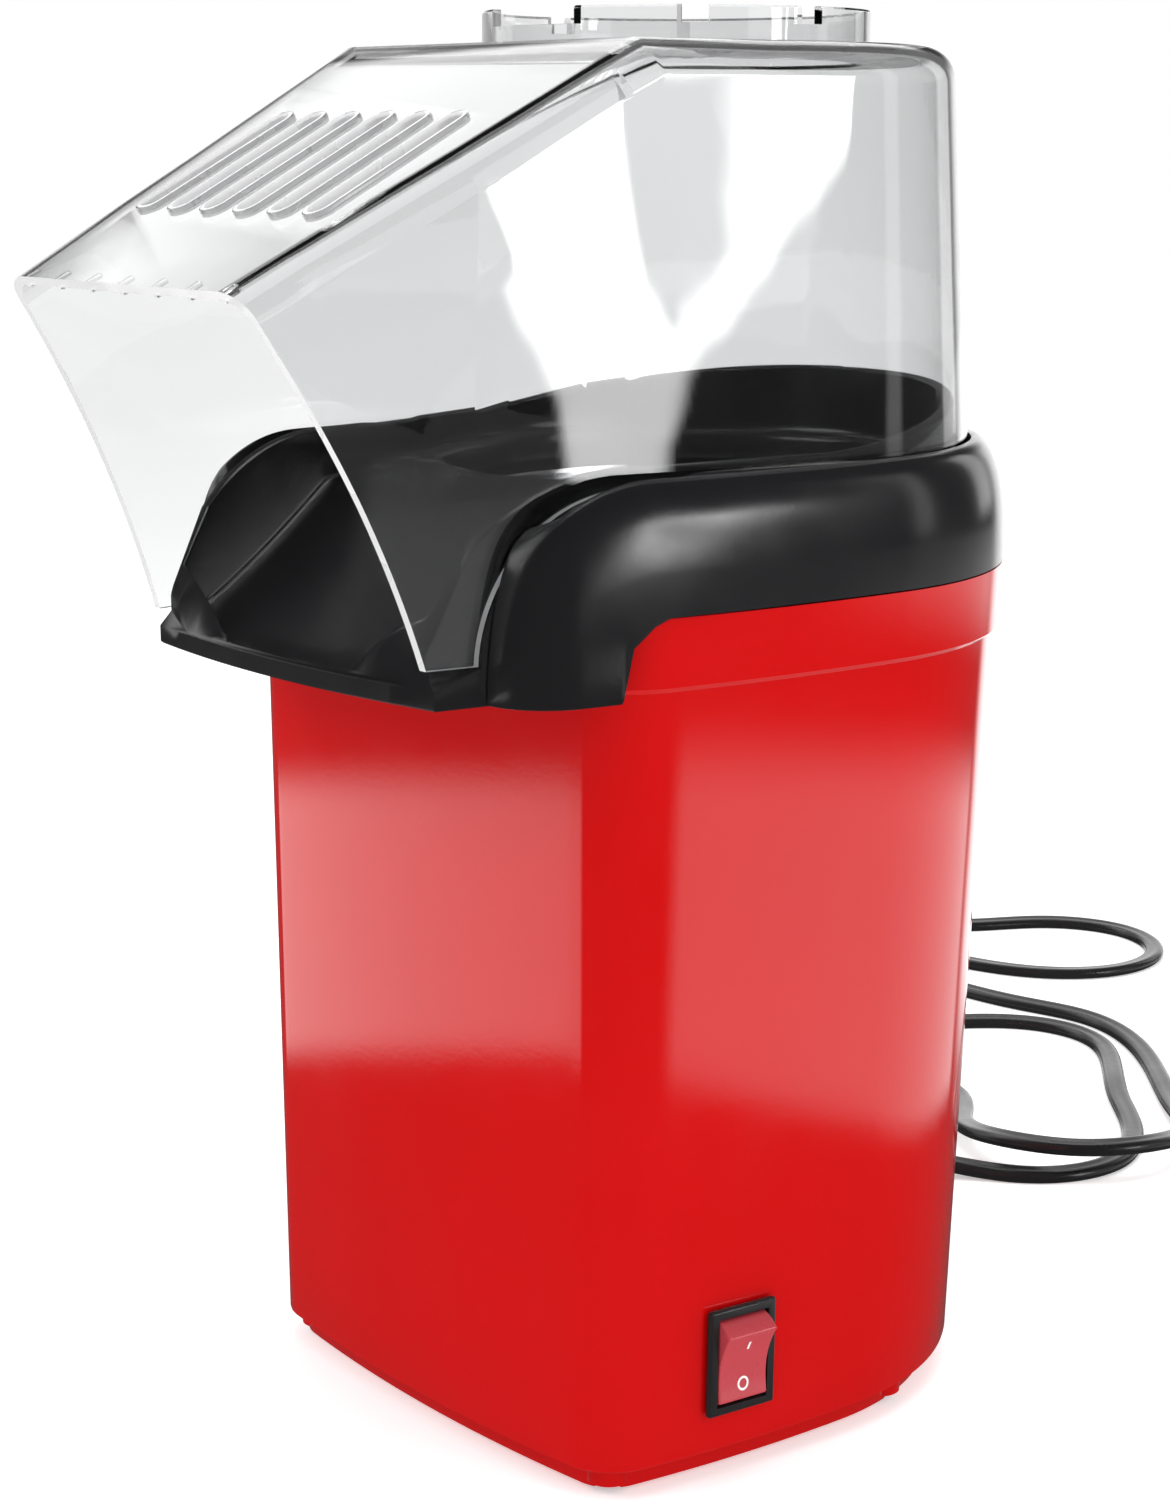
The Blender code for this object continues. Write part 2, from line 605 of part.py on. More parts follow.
def make_base():
    """Tray that closes the bottom: inset plinth, floor with air slots, screw bosses."""
    outside = [body_outline(0.0, -PLINTH_INSET), body_outline(BASE_RIM_Z, -PLINTH_INSET)]
    inside = body_outline(0.0, -PLINTH_INSET - BODY_WALL)
    edge = 0.6 * MM
    rings = [
        level(body_outline(0.0, -PLINTH_INSET - edge), PLINTH_Z),
        level(outside[0], PLINTH_Z + edge),
        level(outside[1], BASE_RIM_Z),
        level(body_outline(BASE_RIM_Z, -PLINTH_INSET - BODY_WALL), BASE_RIM_Z),
        level(inside, PLINTH_Z + BASE_FLOOR),
    ]
    base = add("base_cover", loft("base_cover", rings), RED)
    for heading in POST_HEADINGS:
        c = post_centre(heading)
        boolean(base, rod("boss", BOSS_R, PLINTH_Z + 1.0 * MM, BASE_RIM_Z - GAP, c, 14), "UNION")
        boolean(base, rod("bore", SCREW_R + GAP, -1.0 * MM, BASE_RIM_Z + 1.0 * MM, c, 10))
        boolean(base, rod("head", SCREW_HEAD_R + GAP, -1.0 * MM, HEAD_SEAT_Z, c, 12))
    for k in range(INTAKE_SLOTS):
        x = (k - (INTAKE_SLOTS - 1) / 2.0) * INTAKE_PITCH
        boolean(base, box("intake", (*INTAKE_SLOT, 8.0 * MM), (x, 2.0 * MM, PLINTH_Z)))
    for x, y in FOOT_PLACES:
        boolean(base, rod("foot_seat", FOOT_R + GAP, -1.0 * MM, PLINTH_Z + FOOT_SEAT, (x, y), 16))
    point, direction = body_point(CORD_EXIT_HEADING, CORD_EXIT_Z)
    room = (40.0 * MM, SWITCH_BOX[0] + 2.0 * MM, SWITCH_BOX[1] + 2.0 * MM)
    boolean(base, box("switch_room", room), matrix=switch_matrix())
    slot = box("cord_slot", (2 * RELIEF_NECK_R + 5.0 * MM, 24.0 * MM, 20.0 * MM))
    boolean(base, slot, matrix=outward_matrix(point, direction, CORD_EXIT_Z))
    return base


BODY_FRONT_DEPTH = front_depth(
    BODY_BACK_R, BODY_SIDE_R, BODY_CORNER_R, BODY_SIDE_START, BODY_CORNER_START, BODY_FRONT_START
)
FOOT_PLACES = [
    (sx * (BODY_BACK_R - FOOT_FROM_SIDE), y)
    for y in (FOOT_FROM_FRONT - BODY_FRONT_DEPTH, BODY_BACK_R - FOOT_FROM_BACK) for sx in (-1, 1)
]


def make_feet_and_screws():
    for k, (x, y) in enumerate(FOOT_PLACES):
        top = PLINTH_Z + FOOT_SEAT - GAP
        mesh = rod("foot", FOOT_R - 0.6 * MM, 0.0, top, (0.0, 0.0), 20, FOOT_R)
        foot = add(f"rubber_foot_{k + 1}", mesh, RUBBER)
        foot.location = (x, y, 0.0)
    for k, heading in enumerate(POST_HEADINGS):
        c = post_centre(heading)
        head_z = HEAD_SEAT_Z - GAP
        profile = [
            (0.0, POST_TOP_Z - 12.0 * MM), (SCREW_R, POST_TOP_Z - 13.0 * MM), (SCREW_R, head_z),
            (SCREW_HEAD_R, head_z), (SCREW_HEAD_R, head_z - 1.6 * MM), (0.0, head_z - 2.2 * MM),
        ]
        screw = add(f"base_screw_{k + 1}", turned("screw", profile, 12), STEEL)
        screw.location = (c.x, c.y, 0.0)


# ---------------------------------------------------------------- collar, chute, hood
def make_collar():
    """Black ring on the body's rim whose two shoulders roll down beside the chute."""
    top = lambda drop: lambda y: max(shoulder_height(y, TRUNK_R) - drop, CHUTE_BOTTOM_Z + 1.0 * MM)
    e = COLLAR_EDGE_R
    rings = [
        level(collar_outline(-0.8 * MM), CHUTE_BOTTOM_Z),
        level(collar_outline(0.0), CHUTE_BOTTOM_Z + 0.8 * MM),
        level(collar_outline(0.0), lambda y: min(COLLAR_Z, top(18.0 * MM)(y))),
        level(collar_outline(-0.12 * e), top(9.0 * MM)),
        level(collar_outline(-0.30 * e), top(4.0 * MM)),
        level(collar_outline(-0.60 * e), top(1.4 * MM)),
        level(collar_outline(-1.00 * e), top(0.0)),
    ]
    collar = add("top_collar", loft("top_collar", rings), BLACK)
    cavity = hood_outline(HOOD_PLAY, front_y=2.0 * CHUTE_FRONT_Y)
    boolean(collar, extrude_outline("cavity", cavity, BAND_Z / 2, FAR))
    collar.modifiers.new("skirt", "BOOLEAN").object = skirt_room()
    return collar


def skirt_room():
    """The room that the red body takes below the parting line, as a cutter for what enters it."""
    inner = BAND_OUTSET - BODY_WALL - 4 * GAP
    outside = body_outline(COLLAR_Z, 20.0 * MM)
    inside = body_outline(COLLAR_Z, inner)
    low = BAND_Z / 2
    rings = [level(outside, low), level(outside, FAR), level(inside, FAR), level(inside, low)]
    room = boolean_helper("skirt_room", loft("skirt_room", rings, closed=True))
    below = [(FAR, low), (FAR, COLLAR_Z)] + parting_profile(0.0)[6:2:-1] + [(PARTING_FRONT_Y, low)]
    keep = room.modifiers.new("below", "BOOLEAN")
    keep.operation = "INTERSECT"
    keep.object = boolean_helper("below_parting", side_prism("below", below, FAR))
    return room


def boolean_helper(name, mesh):
    c = add(name, mesh, collection=CUTTERS)
    c.hide_render = True
    c.display_type = "WIRE"
    return c


HOOD_PLAY = 0.6 * MM


def chute_floor(y):
    """Height of the chute's floor, from the chamber's opening down to the lip."""
    t = (HOOD_AXIS_Y - OPENING_R - y) / (HOOD_AXIS_Y - OPENING_R - CHUTE_FRONT_Y)
    t = min(max(t, 0.0), 1.0)
    low = CHUTE_LIP_Z - 1.6 * MM
    return OPENING_Z + (low - OPENING_Z) * (1.25 * t - 0.25 * t * t)


def ledge_height(y):
    return max(shoulder_height(y, LEDGE_R - 0.3 * MM), CHEEK_TIP_Z - 0.4 * MM)


def guide_height(y):
    """Top of the guide wall: highest behind the chamber, falling along the ribs to the lip."""
    reach = TRUNK_AXIS_Y - CHUTE_FRONT_Y
    if y < TRUNK_AXIS_Y:
        t = min((TRUNK_AXIS_Y - y) / reach, 1.0)
        return CHUTE_LIP_Z + (GUIDE_SIDE_Z - CHUTE_LIP_Z) * math.sqrt(max(1.0 - t**2.0, 0.0))
    rise = smoothstep((y + 12.0 * MM) / (HOOD_AXIS_Y + HOOD_R + 12.0 * MM))
    return GUIDE_SIDE_Z + (GUIDE_BACK_Z - GUIDE_SIDE_Z) * rise


def opening_ring(like, radius, z):
    """Points of a round ring in the directions of another ring's points."""
    ring = []
    for x, y in like:
        d = Vector((x, y - HOOD_AXIS_Y)).normalized()
        ring.append((d.x * radius, HOOD_AXIS_Y + d.y * radius, z))
    return ring


def between(ring_a, ring_b, share, height):
    out = []
    for (ax, ay), (bx, by, _) in zip(ring_a, ring_b):
        x, y = ax + (bx - ax) * share, ay + (by - ay) * share
        out.append((x, y, height(y)))
    return out


def make_chute():
    """One moulding: ledge for the hood, guide wall, deck around the opening and the open chute."""
    inset = HOOD_WALL + GUIDE_CLEARANCE
    front = CHUTE_FRONT_Y
    outer = hood_outline(HOOD_PLAY - GAP, front, CHUTE_BULGE)
    wall = hood_outline(-inset, front + 0.6 * MM, CHUTE_BULGE)
    inner = hood_outline(-inset - CHUTE_RIB, front + 2.4 * MM, CHUTE_BULGE)
    under = hood_outline(HOOD_PLAY - GAP - CHUTE_WALL, front + CHUTE_WALL, CHUTE_BULGE)
    opening = opening_ring(inner, OPENING_R, OPENING_Z)
    thick = CHUTE_WALL
    step_top = lambda y: min(ledge_height(y), guide_height(y) - 0.6 * MM)
    rings = [
        level(outer, CHUTE_BOTTOM_Z),
        level(outer, step_top),
        level(wall, step_top),
        level(wall, guide_height),
        level(inner, guide_height),
        between(inner, opening, 0.12, lambda y: chute_floor(y) + 0.4 * MM),
        between(inner, opening, 0.5, chute_floor),
        opening,
        opening_ring(inner, OPENING_R, OPENING_Z - OPENING_LIP),
        opening_ring(inner, OPENING_R + 1.6 * MM, OPENING_Z - OPENING_LIP),
        opening_ring(inner, OPENING_R + 1.6 * MM, OPENING_Z - thick),
        between(inner, opening, 0.5, lambda y: chute_floor(y) - thick),
        between(inner, opening, 0.06, lambda y: chute_floor(y) - thick),
        level(under, CHUTE_BOTTOM_Z),
    ]
    chute = add("chute", loft("chute", rings, closed=True), BLACK)
    chute.modifiers.new("skirt", "BOOLEAN").object = skirt_room()
    return chute


def hood_block(inset):
    """Solid of the hood's shape, inset all round: plan and side profile together."""
    low, high = CHUTE_BOTTOM_Z - 10.6 * MM, RING_TOP_Z + 32.1 * MM
    rings = []
    for z in (low, HOOD_FOOT_Z, high):
        shrink = HOOD_DRAFT * max(z - HOOD_FOOT_Z, 0.0)
        rings.append(level(hood_outline(-inset, radius=HOOD_R - shrink), z))
    top_z = HOOD_TOP_Z - inset
    ny, nz = -math.sin(SLOPE) * inset, math.cos(SLOPE) * inset
    knee_y = HOOD_SLOPE_Y + inset * math.tan(SLOPE / 2.0)
    ahead = 0.02 if inset else 0.0
    mouth = (MOUTH_TOP_Y - ny - ahead * math.cos(SLOPE), MOUTH_TOP_Z - nz - ahead * math.sin(SLOPE))
    tip_z = CHEEK_TIP_Z
    back = FAR
    if inset:
        lower = [(mouth[0], low + 5.0 * MM), (back, low + 5.0 * MM)]
    else:
        arc = arc_points(TRUNK_AXIS_Y, TRUNK_AXIS_Z, LEDGE_R, 177.0 * DEG, 90.0 * DEG, 8)
        edge = []
        for k in range(1, 6):
            t = k / 6.0
            y = MOUTH_TOP_Y + (CHEEK_TIP_Y - MOUTH_TOP_Y) * t + CHEEK_BOW * 4.0 * t * (1.0 - t)
            edge.append((y, MOUTH_TOP_Z + (CHEEK_TIP_Z - MOUTH_TOP_Z) * t))
        lower = edge + [(CHEEK_TIP_Y, tip_z)] + arc + [(back, HOOD_FOOT_Z)]
    profile = [mouth] + lower + [(back, top_z), (knee_y, top_z)]
    block = boolean_helper("hood_block", loft("hood_plan", rings))
    m = block.modifiers.new("side", "BOOLEAN")
    m.operation = "INTERSECT"
    side = boolean_helper("hood_side", side_prism("hood_side", profile, FAR))
    m.object = side
    block.parent = None
    side.parent = None
    mesh = baked(block, "hood_block")
    bpy.data.objects.remove(side, do_unlink=True)
    return round_top_edges(mesh, max(HOOD_TOP_EDGE_R - inset, 1.0 * MM))


def round_top_edges(mesh, radius):
    """Rounds the edges between the roof and the walls, and the knee between roof and slope."""
    bm = bmesh.new()
    bm.from_mesh(mesh)
    bmesh.ops.dissolve_limit(bm, angle_limit=0.5 * DEG, verts=bm.verts, edges=bm.edges)
    chosen = []
    for edge in bm.edges:
        if len(edge.link_faces) != 2:
            continue
        tops = [f for f in edge.link_faces if f.normal.z > 0.7]
        walls = [f for f in edge.link_faces if abs(f.normal.z) < 0.3]
        along_mouth = all(v.co.y < MOUTH_TOP_Y + 1.0 * MM for v in edge.verts)
        if len(tops) == 1 and len(walls) == 1 and not along_mouth:
            chosen.append(edge)
    bmesh.ops.bevel(
        bm, geom=chosen, offset=radius, segments=3, profile=0.5, affect="EDGES", clamp_overlap=True,
    )
    return finish_mesh(bm, mesh.name)


def make_hood():
    """Clear cover: round at the back, sloping slotted roof, cheeks beside the mouth, top ring."""
    lift = empty("hood_lift_axis", (0.0, HOOD_AXIS_Y, HOOD_FOOT_Z), AXIS)
    to_lift = Matrix.Translation(-Vector(lift.location))

    def local(mesh):
        mesh.transform(to_lift)
        return mesh

    hood = add("hood", local(hood_block(0.0)), CLEAR, parent=lift)
    boolean(hood, local(hood_block(HOOD_WALL)))
    ring = turned("top_ring", [
        (RING_R - 2 * RING_WALL, RING_TOP_Z), (RING_R, RING_TOP_Z),
        (RING_R, HOOD_TOP_Z - HOOD_WALL / 2), (RING_R - 2 * RING_WALL, HOOD_TOP_Z - HOOD_WALL / 2),
    ], 40)
    ring.transform(Matrix.Translation((0.0, HOOD_AXIS_Y, 0.0)))
    boolean(hood, local(ring), "UNION")
    hole = rod("hole", RING_R - RING_WALL, HOOD_FOOT_Z, FAR, (0.0, HOOD_AXIS_Y), 40)
    boolean(hood, local(hole))
    notch_z = RING_TOP_Z - RING_NOTCH_DEPTH / 2 + 0.5 * MM
    for angle, width in ((-90.0, RING_FRONT_GAP), (-36.0, RING_NOTCH_WIDTH), (0.0, RING_NOTCH_WIDTH),
                         (180.0, RING_NOTCH_WIDTH), (216.0, RING_NOTCH_WIDTH)):
        notch_size = (8.0 * MM, width, RING_NOTCH_DEPTH + 1.0 * MM)
        cut = box("notch", notch_size, (RING_R - 1.0 * MM, 0.0, notch_z))
        cut.transform(Matrix.Translation((0.0, HOOD_AXIS_Y, 0.0)) @ Matrix.Rotation(angle * DEG, 4, "Z"))
        boolean(hood, local(cut))
    for k in range(SLOT_COUNT):
        x = (k - (SLOT_COUNT - 1) / 2.0) * SLOT_PITCH
        boolean(hood, local(slot_cutter(x)))
    return hood


def slot_cutter(x):
    """A slot with round ends, cut square through the slope."""
    half = SLOT_LENGTH / 2.0 - SLOT_WIDTH / 2.0
    r = SLOT_WIDTH / 2.0
    outline = []
    for centre, start in ((half, -90.0), (-half, 90.0)):
        for k in range(5):
            a = (start + 45.0 * k) * DEG
            outline.append((centre + r * math.cos(a), r * math.sin(a)))
    mesh = extrude_outline("slot", outline, -6.0 * MM, 6.0 * MM)
    along = SLOT_FROM_MOUTH + SLOT_LENGTH / 2.0
    y = MOUTH_TOP_Y + along * math.cos(SLOPE)
    z = MOUTH_TOP_Z + along * math.sin(SLOPE)
    turn = Matrix.Rotation(SLOPE, 4, "X") @ Matrix.Rotation(math.pi / 2.0, 4, "Z")
    mesh.transform(Matrix.Translation((x, y, z)) @ turn)
    return mesh


# ---------------------------------------------------------------- chamber and air path
def on_fan_axis(o, z=0.0):
    o.location = (0.0, HOOD_AXIS_Y, z)
    return o


def make_chamber():
    """Aluminium cup with a rolled flange, a domed floor and slanted air slots round its foot."""
    r, w = CHAMBER_R, CHAMBER_WALL
    floor, top, dome = CHAMBER_FLOOR_Z, CHAMBER_TOP_Z, CHAMBER_DOME
    soft = 4.0 * MM
    profile = [
        (0.0, floor + dome + w), (r * 0.30, floor + dome * 0.8 + w), (r * 0.62, floor + w),
        (r - w - soft, floor + w), (r - w - 0.3 * soft, floor + w + 0.3 * soft),
        (r - w, floor + w + soft), (r - w, top), (r + FLANGE_WIDTH, top),
        (r + FLANGE_WIDTH, top - w), (r, top - w), (r, floor + soft),
        (r - 0.3 * soft, floor + 0.3 * soft), (r - soft, floor), (r * 0.62, floor),
        (r * 0.30, floor + dome * 0.8), (0.0, floor + dome),
    ]
    chamber = on_fan_axis(add("popping_chamber", turned("popping_chamber", profile, 40), ALUMINIUM))
    for k in range(CHAMBER_SLOTS):
        a = 2.0 * math.pi * k / CHAMBER_SLOTS
        cut = box("air_slot", (8.0 * MM, 2.2 * MM, 13.0 * MM))
        turn = Matrix.Rotation(a, 4, "Z") @ Matrix.Translation((r - w / 2, 0.0, floor + 13.0 * MM))
        cut.transform(turn @ Matrix.Rotation(38.0 * DEG, 4, "X"))
        boolean(chamber, cut).location = chamber.location
    return chamber


def make_air_path():
    r, w = SHIELD_R, SHIELD_WALL
    top = CHAMBER_TOP_Z - CHAMBER_WALL - GAP
    shield = [(r, top), (r + w, top), (r + w, SHIELD_FOOT_Z), (r, SHIELD_FOOT_Z)]
    on_fan_axis(add("heat_shield", turned("heat_shield", shield), ALUMINIUM))
    gasket_z = SHIELD_FOOT_Z - GAP
    gasket = [(r - 6.0 * MM, gasket_z), (HOUSING_R, gasket_z), (HOUSING_R, HOUSING_TOP_Z + GAP),
              (r - 6.0 * MM, HOUSING_TOP_Z + GAP)]
    on_fan_axis(add("insulating_ring", turned("insulating_ring", gasket, 40), MICA))
    r, w, floor = HOUSING_R, HOUSING_WALL, HOUSING_FLOOR_Z
    cup = [(r - w, HOUSING_TOP_Z), (r, HOUSING_TOP_Z), (r, floor), (SHAFT_BOSS_R, floor),
           (SHAFT_BOSS_R, floor + w), (r - w, floor + w)]
    housing = on_fan_axis(add("fan_housing", turned("fan_housing", cup, 40), HOUSING))
    for k in range(HOUSING_LEGS):
        a = 2 * k * math.pi / HOUSING_LEGS
        c = ((r - LEG_R - 1.0 * MM) * math.cos(a), (r - LEG_R - 1.0 * MM) * math.sin(a))
        leg = rod("leg", LEG_R, PLINTH_Z + BASE_FLOOR + GAP, floor + w / 2, c, 10)
        boolean(housing, leg, "UNION").location = housing.location
    for k in range(HOUSING_INTAKES):
        a = 2.0 * math.pi * (k + 0.5) / HOUSING_INTAKES
        c = (HOUSING_INTAKES_AT * math.cos(a), HOUSING_INTAKES_AT * math.sin(a))
        hole = rod("air_hole", HOUSING_INTAKE_R, floor - w, floor + 2 * w, c, 12)
        boolean(housing, hole).location = housing.location
    for sx in (-1, 1):
        at = (sx * MOTOR_SCREW_R, 0.0)
        hole = rod("hole", MOTOR_SCREW_SHANK_R + GAP, floor - w, floor + 2 * w, at, 10)
        boolean(housing, hole).location = housing.location




def make_heater():
    """Two mica boards slotted into each other, with the heating wire wound round them."""
    z0, z1 = MICA_Z
    mid = (z0 + z1) / 2.0
    h = z1 - z0
    for name, turn, side in (("mica_board_1", 45.0, 1), ("mica_board_2", 135.0, -1)):
        board = on_fan_axis(add(name, box(name, (2 * MICA_HALF_WIDTH, MICA_THICK, h)), MICA), mid)
        board.rotation_euler = (0.0, 0.0, turn * DEG)
        slot = box("slot", (MICA_THICK + 2 * GAP, 4.0 * MM, h), (0.0, 0.0, side * (h / 2 - GAP / 2)))
        cut = boolean(board, slot)
        cut.location = board.location
        cut.rotation_euler = board.rotation_euler
    radius = MICA_HALF_WIDTH + COIL_WIRE_R + GAP * 1.5
    per_turn = 16
    pitch = (h - 6.0 * MM) / COIL_TURNS
    points = []
    for k in range(COIL_TURNS * per_turn + 1):
        a = 2.0 * math.pi * k / per_turn
        points.append((radius * math.cos(a), radius * math.sin(a), z0 + 3.0 * MM + pitch * k / per_turn))
    on_fan_axis(wire("heating_coil", points, COIL_WIRE_R, STEEL, 1))
    can = [(0.0, 4.0 * MM), (5.6 * MM, 4.0 * MM), (6.2 * MM, 3.2 * MM), (6.2 * MM, 0.0), (0.0, 0.0)]
    thermostat = on_fan_axis(add("thermostat", turned("thermostat", can, 20), STEEL), mid)
    thermostat.location.x = 14.5 * MM
    fuse = add("thermal_fuse", rod("thermal_fuse", 2.0 * MM, -6.0 * MM, 6.0 * MM, segments=12), BRASS)
    fuse.location = (-14.5 * MM, HOOD_AXIS_Y, mid)


def make_motor():
    z0, z1 = MOTOR_Z
    r = MOTOR_R
    bore = SHAFT_R + GAP
    can = [(bore, z1), (MOTOR_BOSS_R, z1), (MOTOR_BOSS_R, z1 - 1.2 * MM), (r - 0.8 * MM, z1 - 1.2 * MM),
           (r, z1 - 2.0 * MM), (r, z0 + 4.0 * MM), (bore, z0 + 4.0 * MM)]
    on_fan_axis(add("motor_can", turned("motor_can", can, 32), STEEL))
    cap_top = z0 + 4.0 * MM - GAP
    cap = [(0.0, cap_top), (r - 0.6 * MM, cap_top), (r - 0.6 * MM, z0 + 1.0 * MM),
           (5.0 * MM, z0 + 1.0 * MM), (4.0 * MM, z0), (0.0, z0)]
    on_fan_axis(add("motor_end_cap", turned("motor_end_cap", cap, 24), BLACK))
    spin = empty("fan_axis", (0.0, HOOD_AXIS_Y, 0.0), AXIS)
    shaft_foot = z0 + 4.0 * MM + GAP
    add("motor_shaft", rod("motor_shaft", SHAFT_R, shaft_foot, SHAFT_TOP_Z, segments=12), STEEL, spin)
    for k, sx in enumerate((-1, 1)):
        head = HOUSING_FLOOR_Z + HOUSING_WALL + GAP
        screw_foot = HOUSING_FLOOR_Z - 3.0 * MM
        profile = [
            (0.0, head + 1.2 * MM), (2.2 * MM, head + 0.8 * MM), (2.2 * MM, head),
            (MOTOR_SCREW_SHANK_R, head), (MOTOR_SCREW_SHANK_R, screw_foot), (0.0, screw_foot),
        ]
        screw = on_fan_axis(add(f"motor_screw_{k + 1}", turned("motor_screw", profile, 10), STEEL))
        screw.location.x = sx * MOTOR_SCREW_R
    hub_r = 7.0 * MM
    low, high = FAN_Z
    web = 1.4 * MM
    disc = [(bore, high + HUB_RISE), (hub_r, high + HUB_RISE), (hub_r, low + web), (FAN_R, low + web),
            (FAN_R, low), (bore, low)]
    fan = add("impeller", turned("impeller", disc, 40), BLACK, spin)
    for k in range(FAN_BLADES):
        a = 2.0 * math.pi * k / FAN_BLADES
        boolean(fan, fan_blade(a, hub_r - 1.0 * MM, FAN_R - 0.5 * MM, low + web / 2, high), "UNION")


def fan_blade(angle, inner, outer, z0, z1):
    """One backward-curved blade of even thickness."""
    thick = 1.2 * MM
    bend = 55.0 * DEG
    steps = 5
    front, back = [], []
    for k in range(steps + 1):
        t = k / steps
        r = inner + (outer - inner) * t
        a = angle + bend * t * t
        half = thick / 2.0 / r
        front.append((r * math.cos(a + half), r * math.sin(a + half)))
        back.append((r * math.cos(a - half), r * math.sin(a - half)))
    return extrude_outline("blade", front[::-1] + back, z0, z1)


# ---------------------------------------------------------------- electrical pieces
def make_switch():
    frame = empty("switch_frame", (0.0, 0.0, 0.0), AXIS)
    frame.matrix_local = switch_matrix()
    pocket_w, pocket_h = ROCKER_WIDTH + 2 * GAP, 2 * (ROCKER_R + GAP)
    pocket_depth = 7.5 * MM
    bezel_mid = (BEZEL_THICK / 2.0 + GAP / 2.0, 0.0, 0.0)
    body = add("switch_body", box("switch_body", (BEZEL_THICK - GAP, *BEZEL), bezel_mid), BLACK, frame)
    bevel = body.modifiers.new("edge", "BEVEL")
    bevel.width = 0.5 * MM
    bevel.segments = 1
    front = BEZEL_THICK / 2.0
    shell = box("switch_box", (SWITCH_DEPTH + front, *SWITCH_BOX), ((front - SWITCH_DEPTH) / 2.0, 0.0, 0.0))
    boolean(body, shell, "UNION")
    pocket_at = (5.0 * MM - pocket_depth / 2.0, 0.0, 0.0)
    pocket = box("pocket", (pocket_depth + 10.0 * MM, pocket_w, pocket_h), pocket_at)
    boolean(body, pocket)
    for k, z in enumerate((-4.5 * MM, 4.5 * MM)):
        tab = box("terminal", (7.0 * MM, 4.8 * MM, 0.8 * MM), (-SWITCH_DEPTH - GAP - 3.5 * MM, 0.0, z))
        add(f"switch_terminal_{k + 1}", tab, BRASS, frame)
    pivot = empty("rocker_pivot", (-ROCKER_PIVOT_IN, 0.0, 0.0), frame)
    rocker = add("rocker", side_prism("rocker", rocker_profile(), ROCKER_WIDTH / 2.0), ROCKER_RED, pivot)
    rest = Matrix.Rotation(ROCKER_THROW / 2.0, 4, "Y")
    rocker.matrix_local = rest @ Matrix.Rotation(-math.pi / 2.0, 4, "Z")
    return frame


def rocker_profile():
    """(out, up) profile about the pivot: a shallow V between two arcs of the rocker's radius."""
    high = 33.8 * DEG
    low = -22.0 * DEG
    r = ROCKER_R
    steps = 4
    angles = [high + (low - high) * k / steps for k in range(steps + 1)]
    top = [(r * math.sin(a), r * math.cos(a)) for a in angles]
    bottom = [(x, -z) for x, z in reversed(top)]
    dip = (r * math.sin(high) - 1.5 * MM, 0.0)
    return [dip] + top + bottom


def make_board():
    """Small rectifier board standing beside the motor, with its diodes and a capacitor."""
    x, y, z = -31.0 * MM, 8.0 * MM, 30.0 * MM
    thick, wide, tall = 1.6 * MM, 24.0 * MM, 20.0 * MM
    board = add("rectifier_board", box("rectifier_board", (thick, wide, tall)), BOARD)
    board.location = (x, y, z)
    reach = thick / 2.0 + GAP
    for k in range(4):
        diode = add(f"diode_{k + 1}", rod("diode", 1.4 * MM, -2.6 * MM, 2.6 * MM, segments=10), BLACK)
        row, column = divmod(k, 2)
        diode.location = (x + reach + 1.4 * MM, y + (column * 6.0 - 9.0) * MM, z + (row * 8.0 - 4.0) * MM)
    cap = [
        (0.0, 6.0 * MM), (3.6 * MM, 6.0 * MM), (4.0 * MM, 5.4 * MM), (4.0 * MM, -6.0 * MM),
        (0.0, -6.0 * MM),
    ]
    capacitor = add("capacitor", turned("capacitor", cap, 16), BLACK)
    capacitor.location = (x + reach + 4.0 * MM, y + 6.5 * MM, z)
    for k, level_z in enumerate((HOUSING_FLOOR_Z + 12.0 * MM, HOUSING_FLOOR_Z + 34.0 * MM)):
        tab = add(f"heater_terminal_{k + 1}", box("tab", (4.8 * MM, 0.8 * MM, 7.0 * MM)), BRASS)
        tab.location = (8.0 * MM * (1 if k else -1), HOOD_AXIS_Y - HOUSING_R - 0.4 * MM - GAP, level_z)


